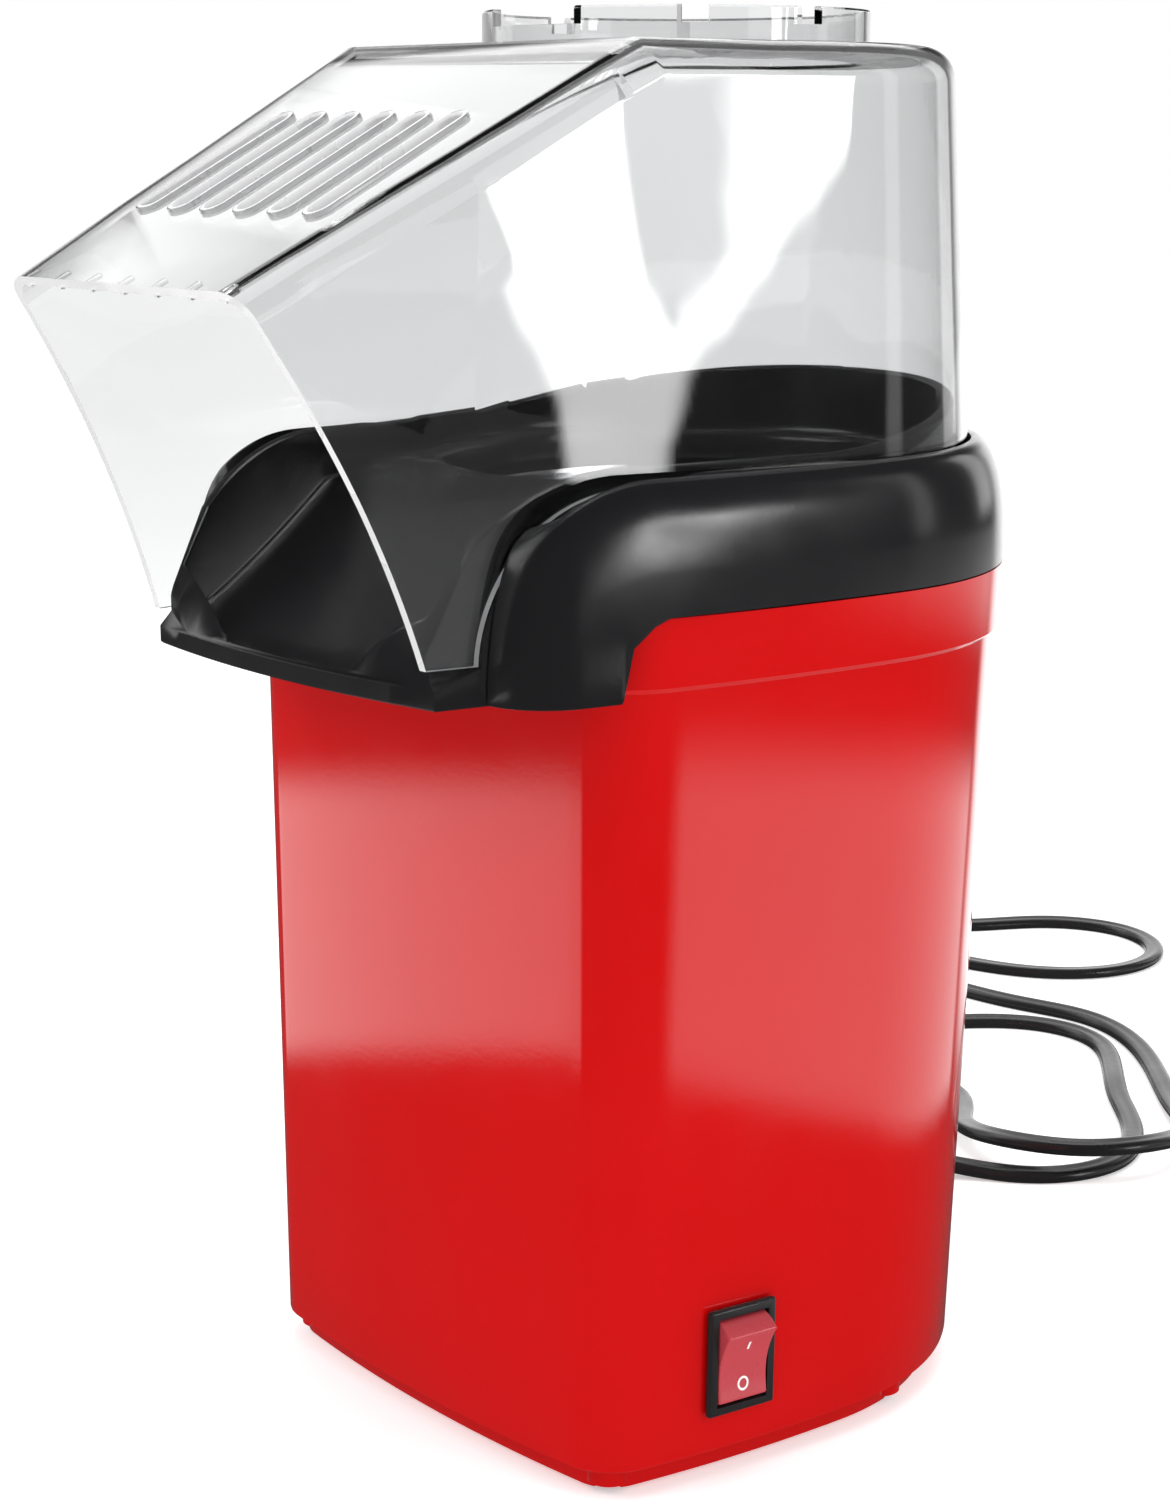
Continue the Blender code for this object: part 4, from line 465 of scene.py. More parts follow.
def smoothstep(t):
    t = min(max(t, 0.0), 1.0)
    return t * t * (3.0 - 2.0 * t)


def parting_profile(clearance):
    """(y, z) outline of the space above the parting line, with a soft S where it falls."""
    top_z, low_z = COLLAR_Z - clearance, CHUTE_BOTTOM_Z - clearance
    bend = PARTING_RUN * 0.55
    y0 = PARTING_FRONT_Y + clearance
    knots = [(y0, low_z), (y0 + PARTING_RUN - bend * 1.4, top_z - bend * 0.9),
             (y0 + PARTING_RUN - bend * 0.6, top_z - bend * 0.25), (y0 + PARTING_RUN, top_z)]
    return [(FAR, FAR), (-FAR, FAR), (-FAR, low_z)] + knots + [(FAR, top_z)]


def body_place(y, z):
    """Point and outward direction of the body's +X side wall at this depth."""
    side, back_r = BODY_SIDE_R + BODY_DRAFT * z, BODY_BACK_R + BODY_DRAFT * z
    start_x = back_r * sin(BODY_SIDE_START)
    start_y = BODY_LEAN * z - back_r * cos(BODY_SIDE_START)
    h = acos(cos(BODY_SIDE_START) + (start_y - y) / side)
    x = start_x - side * (sin(BODY_SIDE_START) - sin(h))
    return Vector((x, y)), Vector((sin(h), -cos(h)))


# ---- mains cord, first of the pieces
CORD_WIDTH, CORD_THICK = 5.6 * MM, 3.1 * MM
LIE = CORD_WIDTH / 2.0  # height of the CAD cord's centre where it lies on the table
CORD_EXIT_Z, CORD_EXIT_HEADING, RELIEF_LENGTH = 15.0 * MM, 200.0 * DEG, 26.0 * MM
RELIEF_NECK_R = 4.2 * MM


def outward(point, direction, z):
    out = Vector((direction.x, direction.y, 0.0)).normalized()
    side = Vector((0.0, 0.0, 1.0)).cross(out)
    turn = Matrix((side, out.cross(side), out)).transposed()
    return Matrix.Translation((point.x, point.y, z)) @ turn.to_4x4()


def relief_matrix():
    r = BODY_BACK_R + BODY_DRAFT * CORD_EXIT_Z
    direction = Vector((sin(CORD_EXIT_HEADING), -cos(CORD_EXIT_HEADING)))
    return outward(Vector((0.0, BODY_LEAN * CORD_EXIT_Z)) + direction * r, direction, CORD_EXIT_Z)


def cord_route():
    """The route of the CAD cord, in body coordinates."""
    over = 9.4
    start = relief_matrix() @ Vector((0.0, 0.0, RELIEF_LENGTH + GAP))
    ahead = relief_matrix() @ Vector((0.0, 0.0, RELIEF_LENGTH + GAP + 7.0 * MM))
    on_table = [
        (-34.0, 97.0, 11.4), (-31.0, 110.0, 5.6), (-19.0, 121.0, 0.0), (-6.0, 130.0, 0.0),
        (-1.0, 151.0, 0.0), (-16.0, 173.0, 0.0), (-35.0, 187.0, 0.0), (-52.0, 206.0, 0.0),
        (-69.0, 222.0, 0.0),
        (-90.0, 221.0, 0.0), (-105.0, 206.0, 0.0), (-115.0, 183.0, 0.0), (-138.0, 168.0, 0.0),
        (-164.0, 178.0, 0.0), (-171.0, 203.0, 0.0), (-157.0, 225.0, 0.0), (-129.0, 226.0, 0.0),
        (-107.0, 228.0, 0.0), (-86.0, 236.0, 0.0), (-64.0, 229.0, 0.0), (-42.0, 212.0, 0.0),
        (-22.0, 193.0, 0.0), (-2.0, 178.0, over - 4.0), (8.0, 156.0, over), (-1.0, 134.0, over),
        (-23.0, 126.0, over - 0.4), (-44.0, 136.0, over - 4.4),
        (-57.0, 156.0, 0.0), (-76.0, 162.0, 0.0), (-96.0, 155.0, 0.0), (-122.0, 142.0, 0.0),
        (-156.0, 140.0, 0.0), (-186.0, 158.0, 0.0), (-200.0, 190.0, 0.0), (-194.0, 222.0, 0.0),
        (-172.0, 243.0, 0.0), (-143.0, 247.0, 0.0), (-121.0, 256.0, 0.0), (-107.0, 277.0, 0.0),
        (-113.0, 303.0, 0.0), (-138.0, 315.0, 0.0), (-162.0, 302.0, 0.0), (-170.0, 279.0, 0.0),
        (-186.0, 264.0, 0.0), (-203.0, 259.0, 5.2), (-216.0, 256.0, 6.6), (-224.0, 254.0, 7.0),
    ]
    return [start, ahead] + [Vector((x * MM, y * MM, max(z * MM, LIE))) for x, y, z in on_table]


def spline(points, per_span):
    """A uniform cubic B-spline through the ends."""
    p = [2 * points[0] - points[1]] + list(points) + [2 * points[-1] - points[-2]]
    out = []
    for i in range(len(p) - 3):
        for k in range(per_span):
            u = k / per_span
            w = ((1 - u) ** 3, 3 * u**3 - 6 * u**2 + 4, -3 * u**3 + 3 * u**2 + 3 * u + 1, u**3)
            out.append(sum((p[i + j] * w[j] for j in range(4)), Vector()) / 6.0)
    out.append(points[-1].copy())
    return out


def cord_section(steps=9):
    """Outline of a flat twin cord: two round cores with a groove between them."""
    core = CORD_THICK / 2.0
    centre = CORD_WIDTH / 2.0 - core
    outline = []
    for side in (1, -1):
        for k in range(steps + 1):
            a = (-112.0 + 224.0 * k / steps) * DEG
            outline.append((side * (centre + core * cos(a)), side * core * sin(a)))
    return outline


def make_cord():
    """The flat cord along its route, and the path of its centre in row coordinates."""
    path = spline(cord_route(), 9)
    settled = []
    for p in path:
        # on the table the flat cord lies lower than the round solid that holds its place
        drop = (LIE - CORD_THICK / 2.0) * smoothstep((14.0 * MM - p.z) / (8.0 * MM))
        settled.append(Vector((p.x, p.y + AXIS_Y, p.z - drop)))
    section = cord_section()
    rings = []
    for i, p in enumerate(settled):
        along = (settled[min(i + 1, len(settled) - 1)] - settled[max(i - 1, 0)]).normalized()
        side = along.cross(Vector((0.0, 0.0, 1.0))).normalized()
        roll = Matrix.Rotation(0.16 * sin(i * 0.045) * smoothstep((i - 12) / 30.0), 3, along)
        side = roll @ side
        up = side.cross(along).normalized()
        around = [p + side * a + up * b for a, b in section]
        rings.append([(q.x, q.y, max(q.z, 0.0)) for q in around])
    cord = piece("flat_cord", loft("flat_cord", rings, smooth_angle=60.0), "cord_sheath",
                 nodes=("power_cord",), matrix=Matrix.Identity(4))
    return cord, settled


def make_plug(path):
    """Moulded two-pin plug with a waist, finger ribs and a tapered tail."""
    end = path[-1]
    along = end - path[-2]
    along.z = 0.0
    along.normalize()
    side = along.cross(Vector((0.0, 0.0, 1.0)))
    lo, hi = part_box("plug_body")
    centre_z = (lo[2] + hi[2]) / 2.0
    frame_at = Matrix((side, along, Vector((0.0, 0.0, 1.0)))).transposed().to_4x4()
    frame_at.translation = Vector((end.x, end.y, centre_z))
    rings = []
    stations = (  # distance from the cord, half width and half height, in millimetres
        (0.3, 3.2, 2.3), (1.2, 3.7, 2.8), (6.0, 4.4, 3.4), (9.0, 5.6, 4.2), (12.0, 8.4, 5.2),
        (15.0, 10.2, 5.9), (19.0, 10.9, 6.2), (24.0, 11.0, 6.3), (29.0, 11.0, 6.3), (31.2, 10.7, 6.1),
        (31.9, 9.9, 5.4),
    )
    power = 0.55
    for y, half_w, half_h in stations:
        ring = []
        for k in range(40):
            a = 2.0 * pi * k / 40
            c, s = cos(a), sin(a)
            x = half_w * copysign(abs(c) ** power, c)
            z = half_h * copysign(abs(s) ** power, s)
            ring.append((x * MM, y * MM, z * MM))
        rings.append(ring)
    body = loft("plug", rings, smooth_angle=50.0)
    ribs = []
    for y in (16.5, 19.5, 22.5):
        for z in (-6.4, 6.4):
            ribs.append((CUT, block((13.0 * MM, 1.1 * MM, 0.9 * MM), (0.0, y * MM, z * MM))))
    body = carve(body, ribs, 40.0)
    return piece("plug", body, "black_parts", nodes=("plug_body",), matrix=frame_at)


def make_relief():
    """Tapered strain relief with flex slots, moulded round the cord."""
    r = RELIEF_NECK_R
    tip_r = CORD_WIDTH / 2.0 + 0.6 * MM
    profile = [(0.0, RELIEF_LENGTH), (tip_r - 0.4 * MM, RELIEF_LENGTH), (tip_r, RELIEF_LENGTH - 0.5 * MM)]
    first, last = 6.0 * MM, RELIEF_LENGTH - 3.0 * MM
    grooves = 5
    for k in range(grooves, -1, -1):
        z = first + (last - first) * k / grooves
        taper = tip_r + (r + 1.0 * MM - tip_r) * (RELIEF_LENGTH - z) / (RELIEF_LENGTH - 3.2 * MM)
        profile += [(taper, z + 0.9 * MM), (taper - 0.75 * MM, z + 0.7 * MM),
                    (taper - 0.75 * MM, z - 0.5 * MM), (taper, z - 0.7 * MM)]
    profile += [
        (r + 1.2 * MM, 3.4 * MM), (r + 1.7 * MM, 3.2 * MM), (r + 1.8 * MM, 2.9 * MM),
        (r + 1.8 * MM, 4 * GAP), (r, 4 * GAP), (r, -BODY_WALL - GAP), (r + 1.0 * MM, -BODY_WALL - GAP),
        (r + 1.0 * MM, -BODY_WALL - 2.0 * MM), (0.0, -BODY_WALL - 2.0 * MM),
    ]
    return piece("cord_relief", turned("cord_relief", profile, 48), "rubber", nodes=("strain_relief",),
                 matrix=TO_ROW @ relief_matrix())


cord, cord_path = make_cord()
relief = make_relief()
plug = make_plug(cord_path)


# ---- red body and base
def make_body():
    top = COLLAR_Z + 4.0 * MM
    soft, step = 0.7 * MM, 0.5 * MM
    rings = [
        level(body_outline(SKIRT_Z, -0.5 * MM), SKIRT_Z),
        level(body_outline(SKIRT_Z, -0.12 * MM), SKIRT_Z + 0.25 * MM),
        level(body_outline(SKIRT_Z), SKIRT_Z + soft),
    ]
    for k in range(1, 12):
        z = SKIRT_Z + soft + (BAND_Z - step - SKIRT_Z - soft) * k / 12.0
        rings.append(level(body_outline(z), z))
    rings += [
        level(body_outline(BAND_Z, 0.0), BAND_Z - step),
        level(body_outline(BAND_Z, 0.35 * MM), BAND_Z - 0.2 * MM),
        level(body_outline(BAND_Z, BAND_OUTSET - 0.35 * MM), BAND_Z + 0.2 * MM),
        level(body_outline(BAND_Z, BAND_OUTSET), BAND_Z + step),
        level(body_outline(top, BAND_OUTSET), top), level(body_outline(top, BAND_OUTSET - BODY_WALL), top),
        level(body_outline(SKIRT_Z, -BODY_WALL), SKIRT_Z),
    ]
    switch_room = block((40.0 * MM, SWITCH_BOX[0] + 2 * GAP, SWITCH_BOX[1] + 2 * GAP))
    cutters = [
        (CUT, side_prism("parting", parting_profile(GAP), FAR)),
        (CUT, moved(switch_room, switch_matrix())),
        (CUT, moved(rod(RELIEF_NECK_R + GAP, -10.0 * MM, 10.0 * MM), relief_matrix())),
    ]
    mesh = carve(loft("body_shell", rings, closed=True), cutters, 28.0)
    return piece("body_shell", mesh, "red_plastic", nodes=("outer_shell",))


def switch_matrix():
    point, direction = body_place(SWITCH_Y, SWITCH_Z)
    turn = Matrix.Rotation(atan2(direction.y, direction.x), 4, "Z")
    lean = Matrix.Rotation(atan(BODY_DRAFT), 4, "Y")
    return Matrix.Translation((point.x, point.y, SWITCH_Z)) @ turn @ lean


def make_base():
    edge = 0.6 * MM
    rings = [
        level(body_outline(0.0, -PLINTH_INSET - edge), PLINTH_Z),
        level(body_outline(0.0, -PLINTH_INSET - 0.18 * MM), PLINTH_Z + 0.18 * MM),
        level(body_outline(0.0, -PLINTH_INSET), PLINTH_Z + edge),
        level(body_outline(BASE_RIM_Z, -PLINTH_INSET), BASE_RIM_Z),
        level(body_outline(BASE_RIM_Z, -PLINTH_INSET - BODY_WALL), BASE_RIM_Z),
        level(body_outline(0.0, -PLINTH_INSET - BODY_WALL), PLINTH_Z + BASE_FLOOR),
    ]
    cutters = []
    for k in range(7):
        x = (k - 3) * 8.0 * MM
        intake = block((3.6 * MM, 58.0 * MM, 8.0 * MM), (x, 2.0 * MM, PLINTH_Z), 1.2 * MM)
        cutters.append((CUT, intake))
    for foot_y in (-42.0 * MM, 36.0 * MM):
        for foot_x in (-34.0 * MM, 34.0 * MM):
            seat = rod(6.0 * MM + GAP, -1.0 * MM, PLINTH_Z + 0.8 * MM, (foot_x, foot_y))
            cutters.append((CUT, seat))
    for k in range(1, 5):
        lo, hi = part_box(f"base_screw_{k}")
        centre = ((lo[0] + hi[0]) / 2.0, (lo[1] + hi[1]) / 2.0 - AXIS_Y)
        cutters.append((ADD, rod(4.2 * MM, PLINTH_Z + 1.0 * MM, BASE_RIM_Z - GAP, centre)))
        cutters.append((CUT, rod(1.6 * MM + GAP, -1.0 * MM, BASE_RIM_Z + 1.0 * MM, centre)))
        cutters.append((CUT, rod(3.0 * MM + GAP, -1.0 * MM, 5.2 * MM, centre)))
    room = block((40.0 * MM, SWITCH_BOX[0] + 2.0 * MM, SWITCH_BOX[1] + 2.0 * MM))
    cutters.append((CUT, moved(room, switch_matrix())))
    slot = block((2 * RELIEF_NECK_R + 5.0 * MM, 24.0 * MM, 20.0 * MM))
    cutters.append((CUT, moved(slot, relief_matrix())))
    mesh = carve(loft("base_tray", rings), cutters, 28.0)
    return piece("base_tray", mesh, "red_plastic", nodes=("base_cover",))


make_body()
make_base()


# ---- black collar and chute
def make_collar():
    e, tall, steps = COLLAR_EDGE_R, 18.0 * MM, 12
    floor_z = CHUTE_BOTTOM_Z + 1.0 * MM
    rings = [
        level(collar_outline(-0.8 * MM), CHUTE_BOTTOM_Z),
        level(collar_outline(-0.25 * MM), CHUTE_BOTTOM_Z + 0.2 * MM),
        level(collar_outline(0.0), CHUTE_BOTTOM_Z + 0.8 * MM),
    ]

    def shoulder(drop):
        return lambda y: max(shoulder_height(y, TRUNK_R) - drop, floor_z)

    for k in range(steps + 1):
        a = pi / 2.0 * k / steps
        inset, drop = e * (1.0 - cos(a)), tall * (1.0 - sin(a))
        rings.append(level(collar_outline(-inset), shoulder(drop)))
    rings[3] = level(collar_outline(0.0), lambda y: min(COLLAR_Z, shoulder(tall)(y)))
    cavity = extruded("cavity", hood_outline(HOOD_PLAY, front_y=-FAR), BELOW, ABOVE)
    room = skirt_room()
    mesh = carve(loft("collar", rings), [(CUT, cavity), (CUT, room)], 40.0)
    return piece("collar", mesh, "black_plastic", nodes=("top_collar",))


def skirt_room():
    """The room that the red body takes below the parting line."""
    inner, outer = BAND_OUTSET - BODY_WALL - 4 * GAP, 20.0 * MM
    rings = [
        level(body_outline(COLLAR_Z, outer), BELOW), level(body_outline(COLLAR_Z, outer), ABOVE),
        level(body_outline(COLLAR_Z, inner), ABOVE), level(body_outline(COLLAR_Z, inner), BELOW),
    ]
    below = [(FAR, BELOW), (FAR, COLLAR_Z)] + parting_profile(0.0)[6:2:-1] + [(PARTING_FRONT_Y, BELOW)]
    return carve(loft("room", rings, closed=True), [(KEEP, side_prism("below", below, FAR))])


def chute_floor(y):
    t = (HOOD_AXIS_Y - OPENING_R - y) / (HOOD_AXIS_Y - OPENING_R - CHUTE_FRONT_Y)
    t = min(max(t, 0.0), 1.0)
    low = CHUTE_LIP_Z - 1.6 * MM
    return OPENING_Z + (low - OPENING_Z) * (1.25 * t - 0.25 * t * t)


def ledge_height(y):
    return max(shoulder_height(y, LEDGE_R - 0.3 * MM), CHEEK_TIP_Z - 0.4 * MM)


def guide_height(y):
    reach = TRUNK_AXIS_Y - CHUTE_FRONT_Y
    if y < TRUNK_AXIS_Y:
        t = min((TRUNK_AXIS_Y - y) / reach, 1.0)
        return CHUTE_LIP_Z + (GUIDE_SIDE_Z - CHUTE_LIP_Z) * sqrt(max(1.0 - t**2.0, 0.0))
    rise = smoothstep((y + 12.0 * MM) / (HOOD_AXIS_Y + HOOD_R + 12.0 * MM))
    return GUIDE_SIDE_Z + (GUIDE_BACK_Z - GUIDE_SIDE_Z) * rise


def opening_ring(like, radius, z):
    ring = []
    for x, y in like:
        d = Vector((x, y - HOOD_AXIS_Y)).normalized()
        ring.append((d.x * radius, HOOD_AXIS_Y + d.y * radius, z))
    return ring


def between(ring_a, ring_b, share, height):
    out = []
    for (ax, ay), (bx, by, _) in zip(ring_a, ring_b):
        x, y = ax + (bx - ax) * share, ay + (by - ay) * share
        out.append((x, y, height(y)))
    return out


def make_chute():
    inset, front, thick = HOOD_WALL + GUIDE_CLEARANCE, CHUTE_FRONT_Y, CHUTE_WALL
    plan = lambda offset, ahead: hood_outline(offset, front + ahead, CHUTE_BULGE)
    outer, wall = plan(HOOD_PLAY - GAP, 0.0), plan(-inset, 0.6 * MM)
    wall_in, inner_out = plan(-inset - 0.5 * MM, 0.9 * MM), plan(-inset - CHUTE_RIB + 0.5 * MM, 2.1 * MM)
    inner, under = plan(-inset - CHUTE_RIB, 2.4 * MM), plan(HOOD_PLAY - GAP - CHUTE_WALL, CHUTE_WALL)
    opening = opening_ring(inner, OPENING_R, OPENING_Z)
    step_top = lambda y: min(ledge_height(y), guide_height(y) - 0.6 * MM)
    lower = lambda y: guide_height(y) - 0.45 * MM
    rings = [
        level(plan(HOOD_PLAY - GAP - 0.4 * MM, 0.4 * MM), CHUTE_BOTTOM_Z),
        level(outer, CHUTE_BOTTOM_Z + 0.4 * MM),
        level(outer, step_top), level(wall, step_top), level(wall, lower), level(wall_in, guide_height),
        level(inner_out, guide_height), level(inner, lower),
    ]

    def fillet(lift):
        return lambda y: min(chute_floor(y) + lift, guide_height(y) - 0.7 * MM)

    for share, lift in ((0.0, 2.2), (0.02, 1.2), (0.06, 0.5), (0.14, 0.1)):
        rings.append(between(inner, opening, share, fillet(lift * MM)))
    for share in (0.3, 0.5, 0.7, 0.86):
        rings.append(between(inner, opening, share, chute_floor))
    rings += [
        opening_ring(inner, OPENING_R + 0.9 * MM, OPENING_Z),
        opening_ring(inner, OPENING_R + 0.27 * MM, OPENING_Z - 0.25 * MM),
        opening_ring(inner, OPENING_R, OPENING_Z - 0.9 * MM),
        opening_ring(inner, OPENING_R, OPENING_Z - OPENING_LIP),
        opening_ring(inner, OPENING_R + 1.6 * MM, OPENING_Z - OPENING_LIP),
        opening_ring(inner, OPENING_R + 1.6 * MM, OPENING_Z - thick),
        between(inner, opening, 0.5, lambda y: chute_floor(y) - thick),
        between(inner, opening, 0.06, lambda y: chute_floor(y) - thick), level(under, CHUTE_BOTTOM_Z),
    ]
    mesh = loft("chute_moulding", rings, closed=True, smooth_angle=45.0)
    mesh = carve(mesh, [(CUT, skirt_room())], 45.0)
    return piece("chute_moulding", mesh, "black_plastic", nodes=("chute",))


make_collar()
make_chute()


# ---- clear hood
def hood_block(inset):
    """The hood's outer body, or with an inset the room inside it."""
    rings = []
    for z in (CHEEK_TIP_Z - 17.6 * MM, HOOD_FOOT_Z, ABOVE):
        shrink = HOOD_DRAFT * max(z - HOOD_FOOT_Z, 0.0)
        rings.append(level(hood_outline(-inset, radius=HOOD_R - shrink), z))
    top_z = HOOD_TOP_Z - inset
    ny, nz = -sin(SLOPE) * inset, cos(SLOPE) * inset
    knee_y = HOOD_SLOPE_Y + inset * tan(SLOPE / 2.0)
    ahead = 20.0 * MM if inset else 0.0
    mouth = (MOUTH_TOP_Y - ny - ahead * cos(SLOPE), MOUTH_TOP_Z - nz - ahead * sin(SLOPE))
    behind = FAR / 2.0
    if inset:
        lower = [(mouth[0], CHEEK_TIP_Z - 12.6 * MM), (behind, CHEEK_TIP_Z - 12.6 * MM)]
    else:
        arc = []
        for k in range(25):
            a = (177.0 + (90.0 - 177.0) * k / 24.0) * DEG
            arc.append((TRUNK_AXIS_Y + LEDGE_R * cos(a), TRUNK_AXIS_Z + LEDGE_R * sin(a)))
        edge = []
        for k in range(1, 16):
            t = k / 16.0
            y = MOUTH_TOP_Y + (CHEEK_TIP_Y - MOUTH_TOP_Y) * t + CHEEK_BOW * 4.0 * t * (1.0 - t)
            edge.append((y, MOUTH_TOP_Z + (CHEEK_TIP_Z - MOUTH_TOP_Z) * t))
        lower = edge + [(CHEEK_TIP_Y, CHEEK_TIP_Z)] + arc + [(behind, HOOD_FOOT_Z)]
    profile = [mouth] + lower + [(behind, top_z), (knee_y, top_z)]
    mesh = carve(loft("hood_plan", rings), [(KEEP, side_prism("hood_side", profile, FAR))])
    bm = bmesh.new()
    bm.from_mesh(mesh)
    bmesh.ops.dissolve_limit(bm, angle_limit=0.5 * DEG, verts=bm.verts, edges=bm.edges)
    chosen = []
    for edge in bm.edges:
        if len(edge.link_faces) != 2:
            continue
        tops = [f for f in edge.link_faces if f.normal.z > 0.7]
        walls = [f for f in edge.link_faces if abs(f.normal.z) < 0.3]
        along_mouth = all(v.co.y < MOUTH_TOP_Y + 1.0 * MM for v in edge.verts)
        if len(tops) == 1 and len(walls) == 1 and not along_mouth:
            chosen.append(edge)
    radius = max(HOOD_TOP_EDGE_R - inset, 1.0 * MM)
    bmesh.ops.bevel(bm, geom=chosen, offset=radius, segments=8, profile=0.5, affect="EDGES",
                    clamp_overlap=False)
    return mesh_of(bm, "hood_block")


def on_slope(along, x=0.0, lift=0.0):
    """A frame on the sloping roof: +Y up the slope, +Z out of it."""
    y = MOUTH_TOP_Y + along * cos(SLOPE) - lift * sin(SLOPE)
    z = MOUTH_TOP_Z + along * sin(SLOPE) + lift * cos(SLOPE)
    return Matrix.Translation((x, y, z)) @ Matrix.Rotation(SLOPE, 4, "X")


def stadium(width, length, z0, z1, soft=0.0, steps=12):
    half, r = length / 2.0 - width / 2.0, width / 2.0
    def outline(radius):
        points = []
        for centre, start in ((half, 0.0), (-half, 180.0)):
            for k in range(steps + 1):
                a = (start + 180.0 * k / steps) * DEG
                points.append((radius * cos(a), centre + radius * sin(a)))
        return points
    rings = [level(outline(r), z0), level(outline(r), z1 - soft)]
    if soft:
        rings += [level(outline(r - 0.3 * soft), z1 - 0.3 * soft), level(outline(r - soft), z1)]
    return loft("stadium", rings)


def paint_edge_highlights(mesh, wall):
    """Gives the faces with more than a wall's depth of plastic behind them, the edges, the paler material:
    a painted highlight along the edges.
    """
    bm = bmesh.new()
    bm.from_mesh(mesh)
    tree = BVHTree.FromBMesh(bm)
    mesh.materials.append(painted_edge_highlight())
    for face in bm.faces:
        inward = -face.normal
        hit = tree.ray_cast(face.calc_center_median() + inward * 0.02 * MM, inward)
        if hit[3] is None or hit[3] > wall:
            # edge face: takes the painted highlight material
            face.material_index = 1
    bm.to_mesh(mesh)
    bm.free()


def make_hood():
    cutters = []
    middle = SLOT_FROM_MOUTH + SLOT_LENGTH / 2.0
    for k in range(SLOT_COUNT):
        x = (k - (SLOT_COUNT - 1) / 2.0) * SLOT_PITCH
        rim = stadium(SLOT_WIDTH + 1.9 * MM, SLOT_LENGTH + 1.9 * MM, -1.2 * MM, 0.75 * MM, 0.3 * MM)
        cutters.append((ADD, moved(rim, on_slope(middle, x))))
    for k in range(7):
        x = (k - 3) * SLOT_PITCH
        nib = block((1.5 * MM, 3.2 * MM, 1.3 * MM), bevel=0.4 * MM)
        cutters.append((ADD, moved(nib, on_slope(1.9 * MM, x, -1.9 * MM))))
    ring_profile = [
        (RING_R - 2 * RING_WALL, RING_TOP_Z - 0.3 * MM), (RING_R - 2 * RING_WALL + 0.3 * MM, RING_TOP_Z),
        (RING_R - 0.4 * MM, RING_TOP_Z), (RING_R, RING_TOP_Z - 0.4 * MM),
        (RING_R, HOOD_TOP_Z - HOOD_WALL / 2), (RING_R - 2 * RING_WALL, HOOD_TOP_Z - HOOD_WALL / 2),
    ]
    centre = Matrix.Translation((0.0, HOOD_AXIS_Y, 0.0))
    cutters.append((ADD, moved(turned("ring", ring_profile), centre)))
    hole = rod(RING_R - RING_WALL, HOOD_TOP_Z - 20.0 * MM, ABOVE, (0.0, HOOD_AXIS_Y), 96)
    cutters.append((CUT, hole))
    notch_z = RING_TOP_Z - RING_NOTCH_DEPTH / 2 + 0.5 * MM
    for angle, width in ((-90.0, RING_FRONT_GAP), (-36.0, RING_NOTCH_WIDTH), (0.0, RING_NOTCH_WIDTH),
                         (180.0, RING_NOTCH_WIDTH), (216.0, RING_NOTCH_WIDTH)):
        cut = block((8.0 * MM, width, RING_NOTCH_DEPTH + 1.0 * MM), (RING_R - 1.0 * MM, 0.0, notch_z))
        cutters.append((CUT, moved(cut, centre @ Matrix.Rotation(angle * DEG, 4, "Z"))))
    for k in range(SLOT_COUNT):
        x = (k - (SLOT_COUNT - 1) / 2.0) * SLOT_PITCH
        slot = stadium(SLOT_WIDTH, SLOT_LENGTH, -6.0 * MM, 6.0 * MM)
        cutters.append((CUT, moved(slot, on_slope(middle, x))))
    mesh = carve(hood_block(0.0), [(CUT, hood_block(HOOD_WALL))] + cutters, 30.0)
    hood = piece("clear_hood", mesh, "clear_plastic", body="hood", nodes=("hood",))
    # the hood's edges get a painted highlight
    paint_edge_highlights(hood.data, 1.45 * HOOD_WALL)


make_hood()


# ---- popping chamber and switch
def make_chamber():
    r, w, floor, top = CHAMBER_R, CHAMBER_WALL, CHAMBER_FLOOR_Z, CHAMBER_TOP_Z
    dome, soft = CHAMBER_DOME, 4.0 * MM
    inside, outside = [], []
    for k in range(13):
        t = k / 12.0
        inside.append((r * 0.62 * t, floor + dome * (1.0 - smoothstep(t)) + w))
        outside.append((r * 0.62 * t, floor + dome * (1.0 - smoothstep(t))))
    for k in range(9):
        a = pi / 2.0 * k / 8
        inside.append((r - w - soft + soft * sin(a), floor + w + soft - soft * cos(a)))
        outside.append((r - soft + soft * sin(a), floor + soft - soft * cos(a)))
    flange = [(r - w, top - 0.9 * MM), (r - w + 0.3 * MM, top - 0.2 * MM), (r - w + 0.9 * MM, top),
              (r + FLANGE_WIDTH, top), (r + FLANGE_WIDTH, top - w), (r, top - w)]
    mesh = turned("chamber", inside + flange + outside[::-1], 128)
    cutters = []
    for k in range(CHAMBER_SLOTS):
        a = 2.0 * pi * k / CHAMBER_SLOTS
        cut = block((8.0 * MM, 2.2 * MM, 13.0 * MM), (0.0, 0.0, 0.0), 0.8 * MM, 2)
        turn = Matrix.Rotation(a, 4, "Z") @ Matrix.Translation((r - w / 2, 0.0, floor + 13.0 * MM))
        cutters.append((CUT, moved(cut, turn @ Matrix.Rotation(38.0 * DEG, 4, "X"))))
    mesh = carve(mesh, cutters, 35.0)
    piece("chamber", mesh, "aluminium", nodes=("popping_chamber",),
          matrix=TO_ROW @ Matrix.Translation((0.0, HOOD_AXIS_Y, 0.0)))


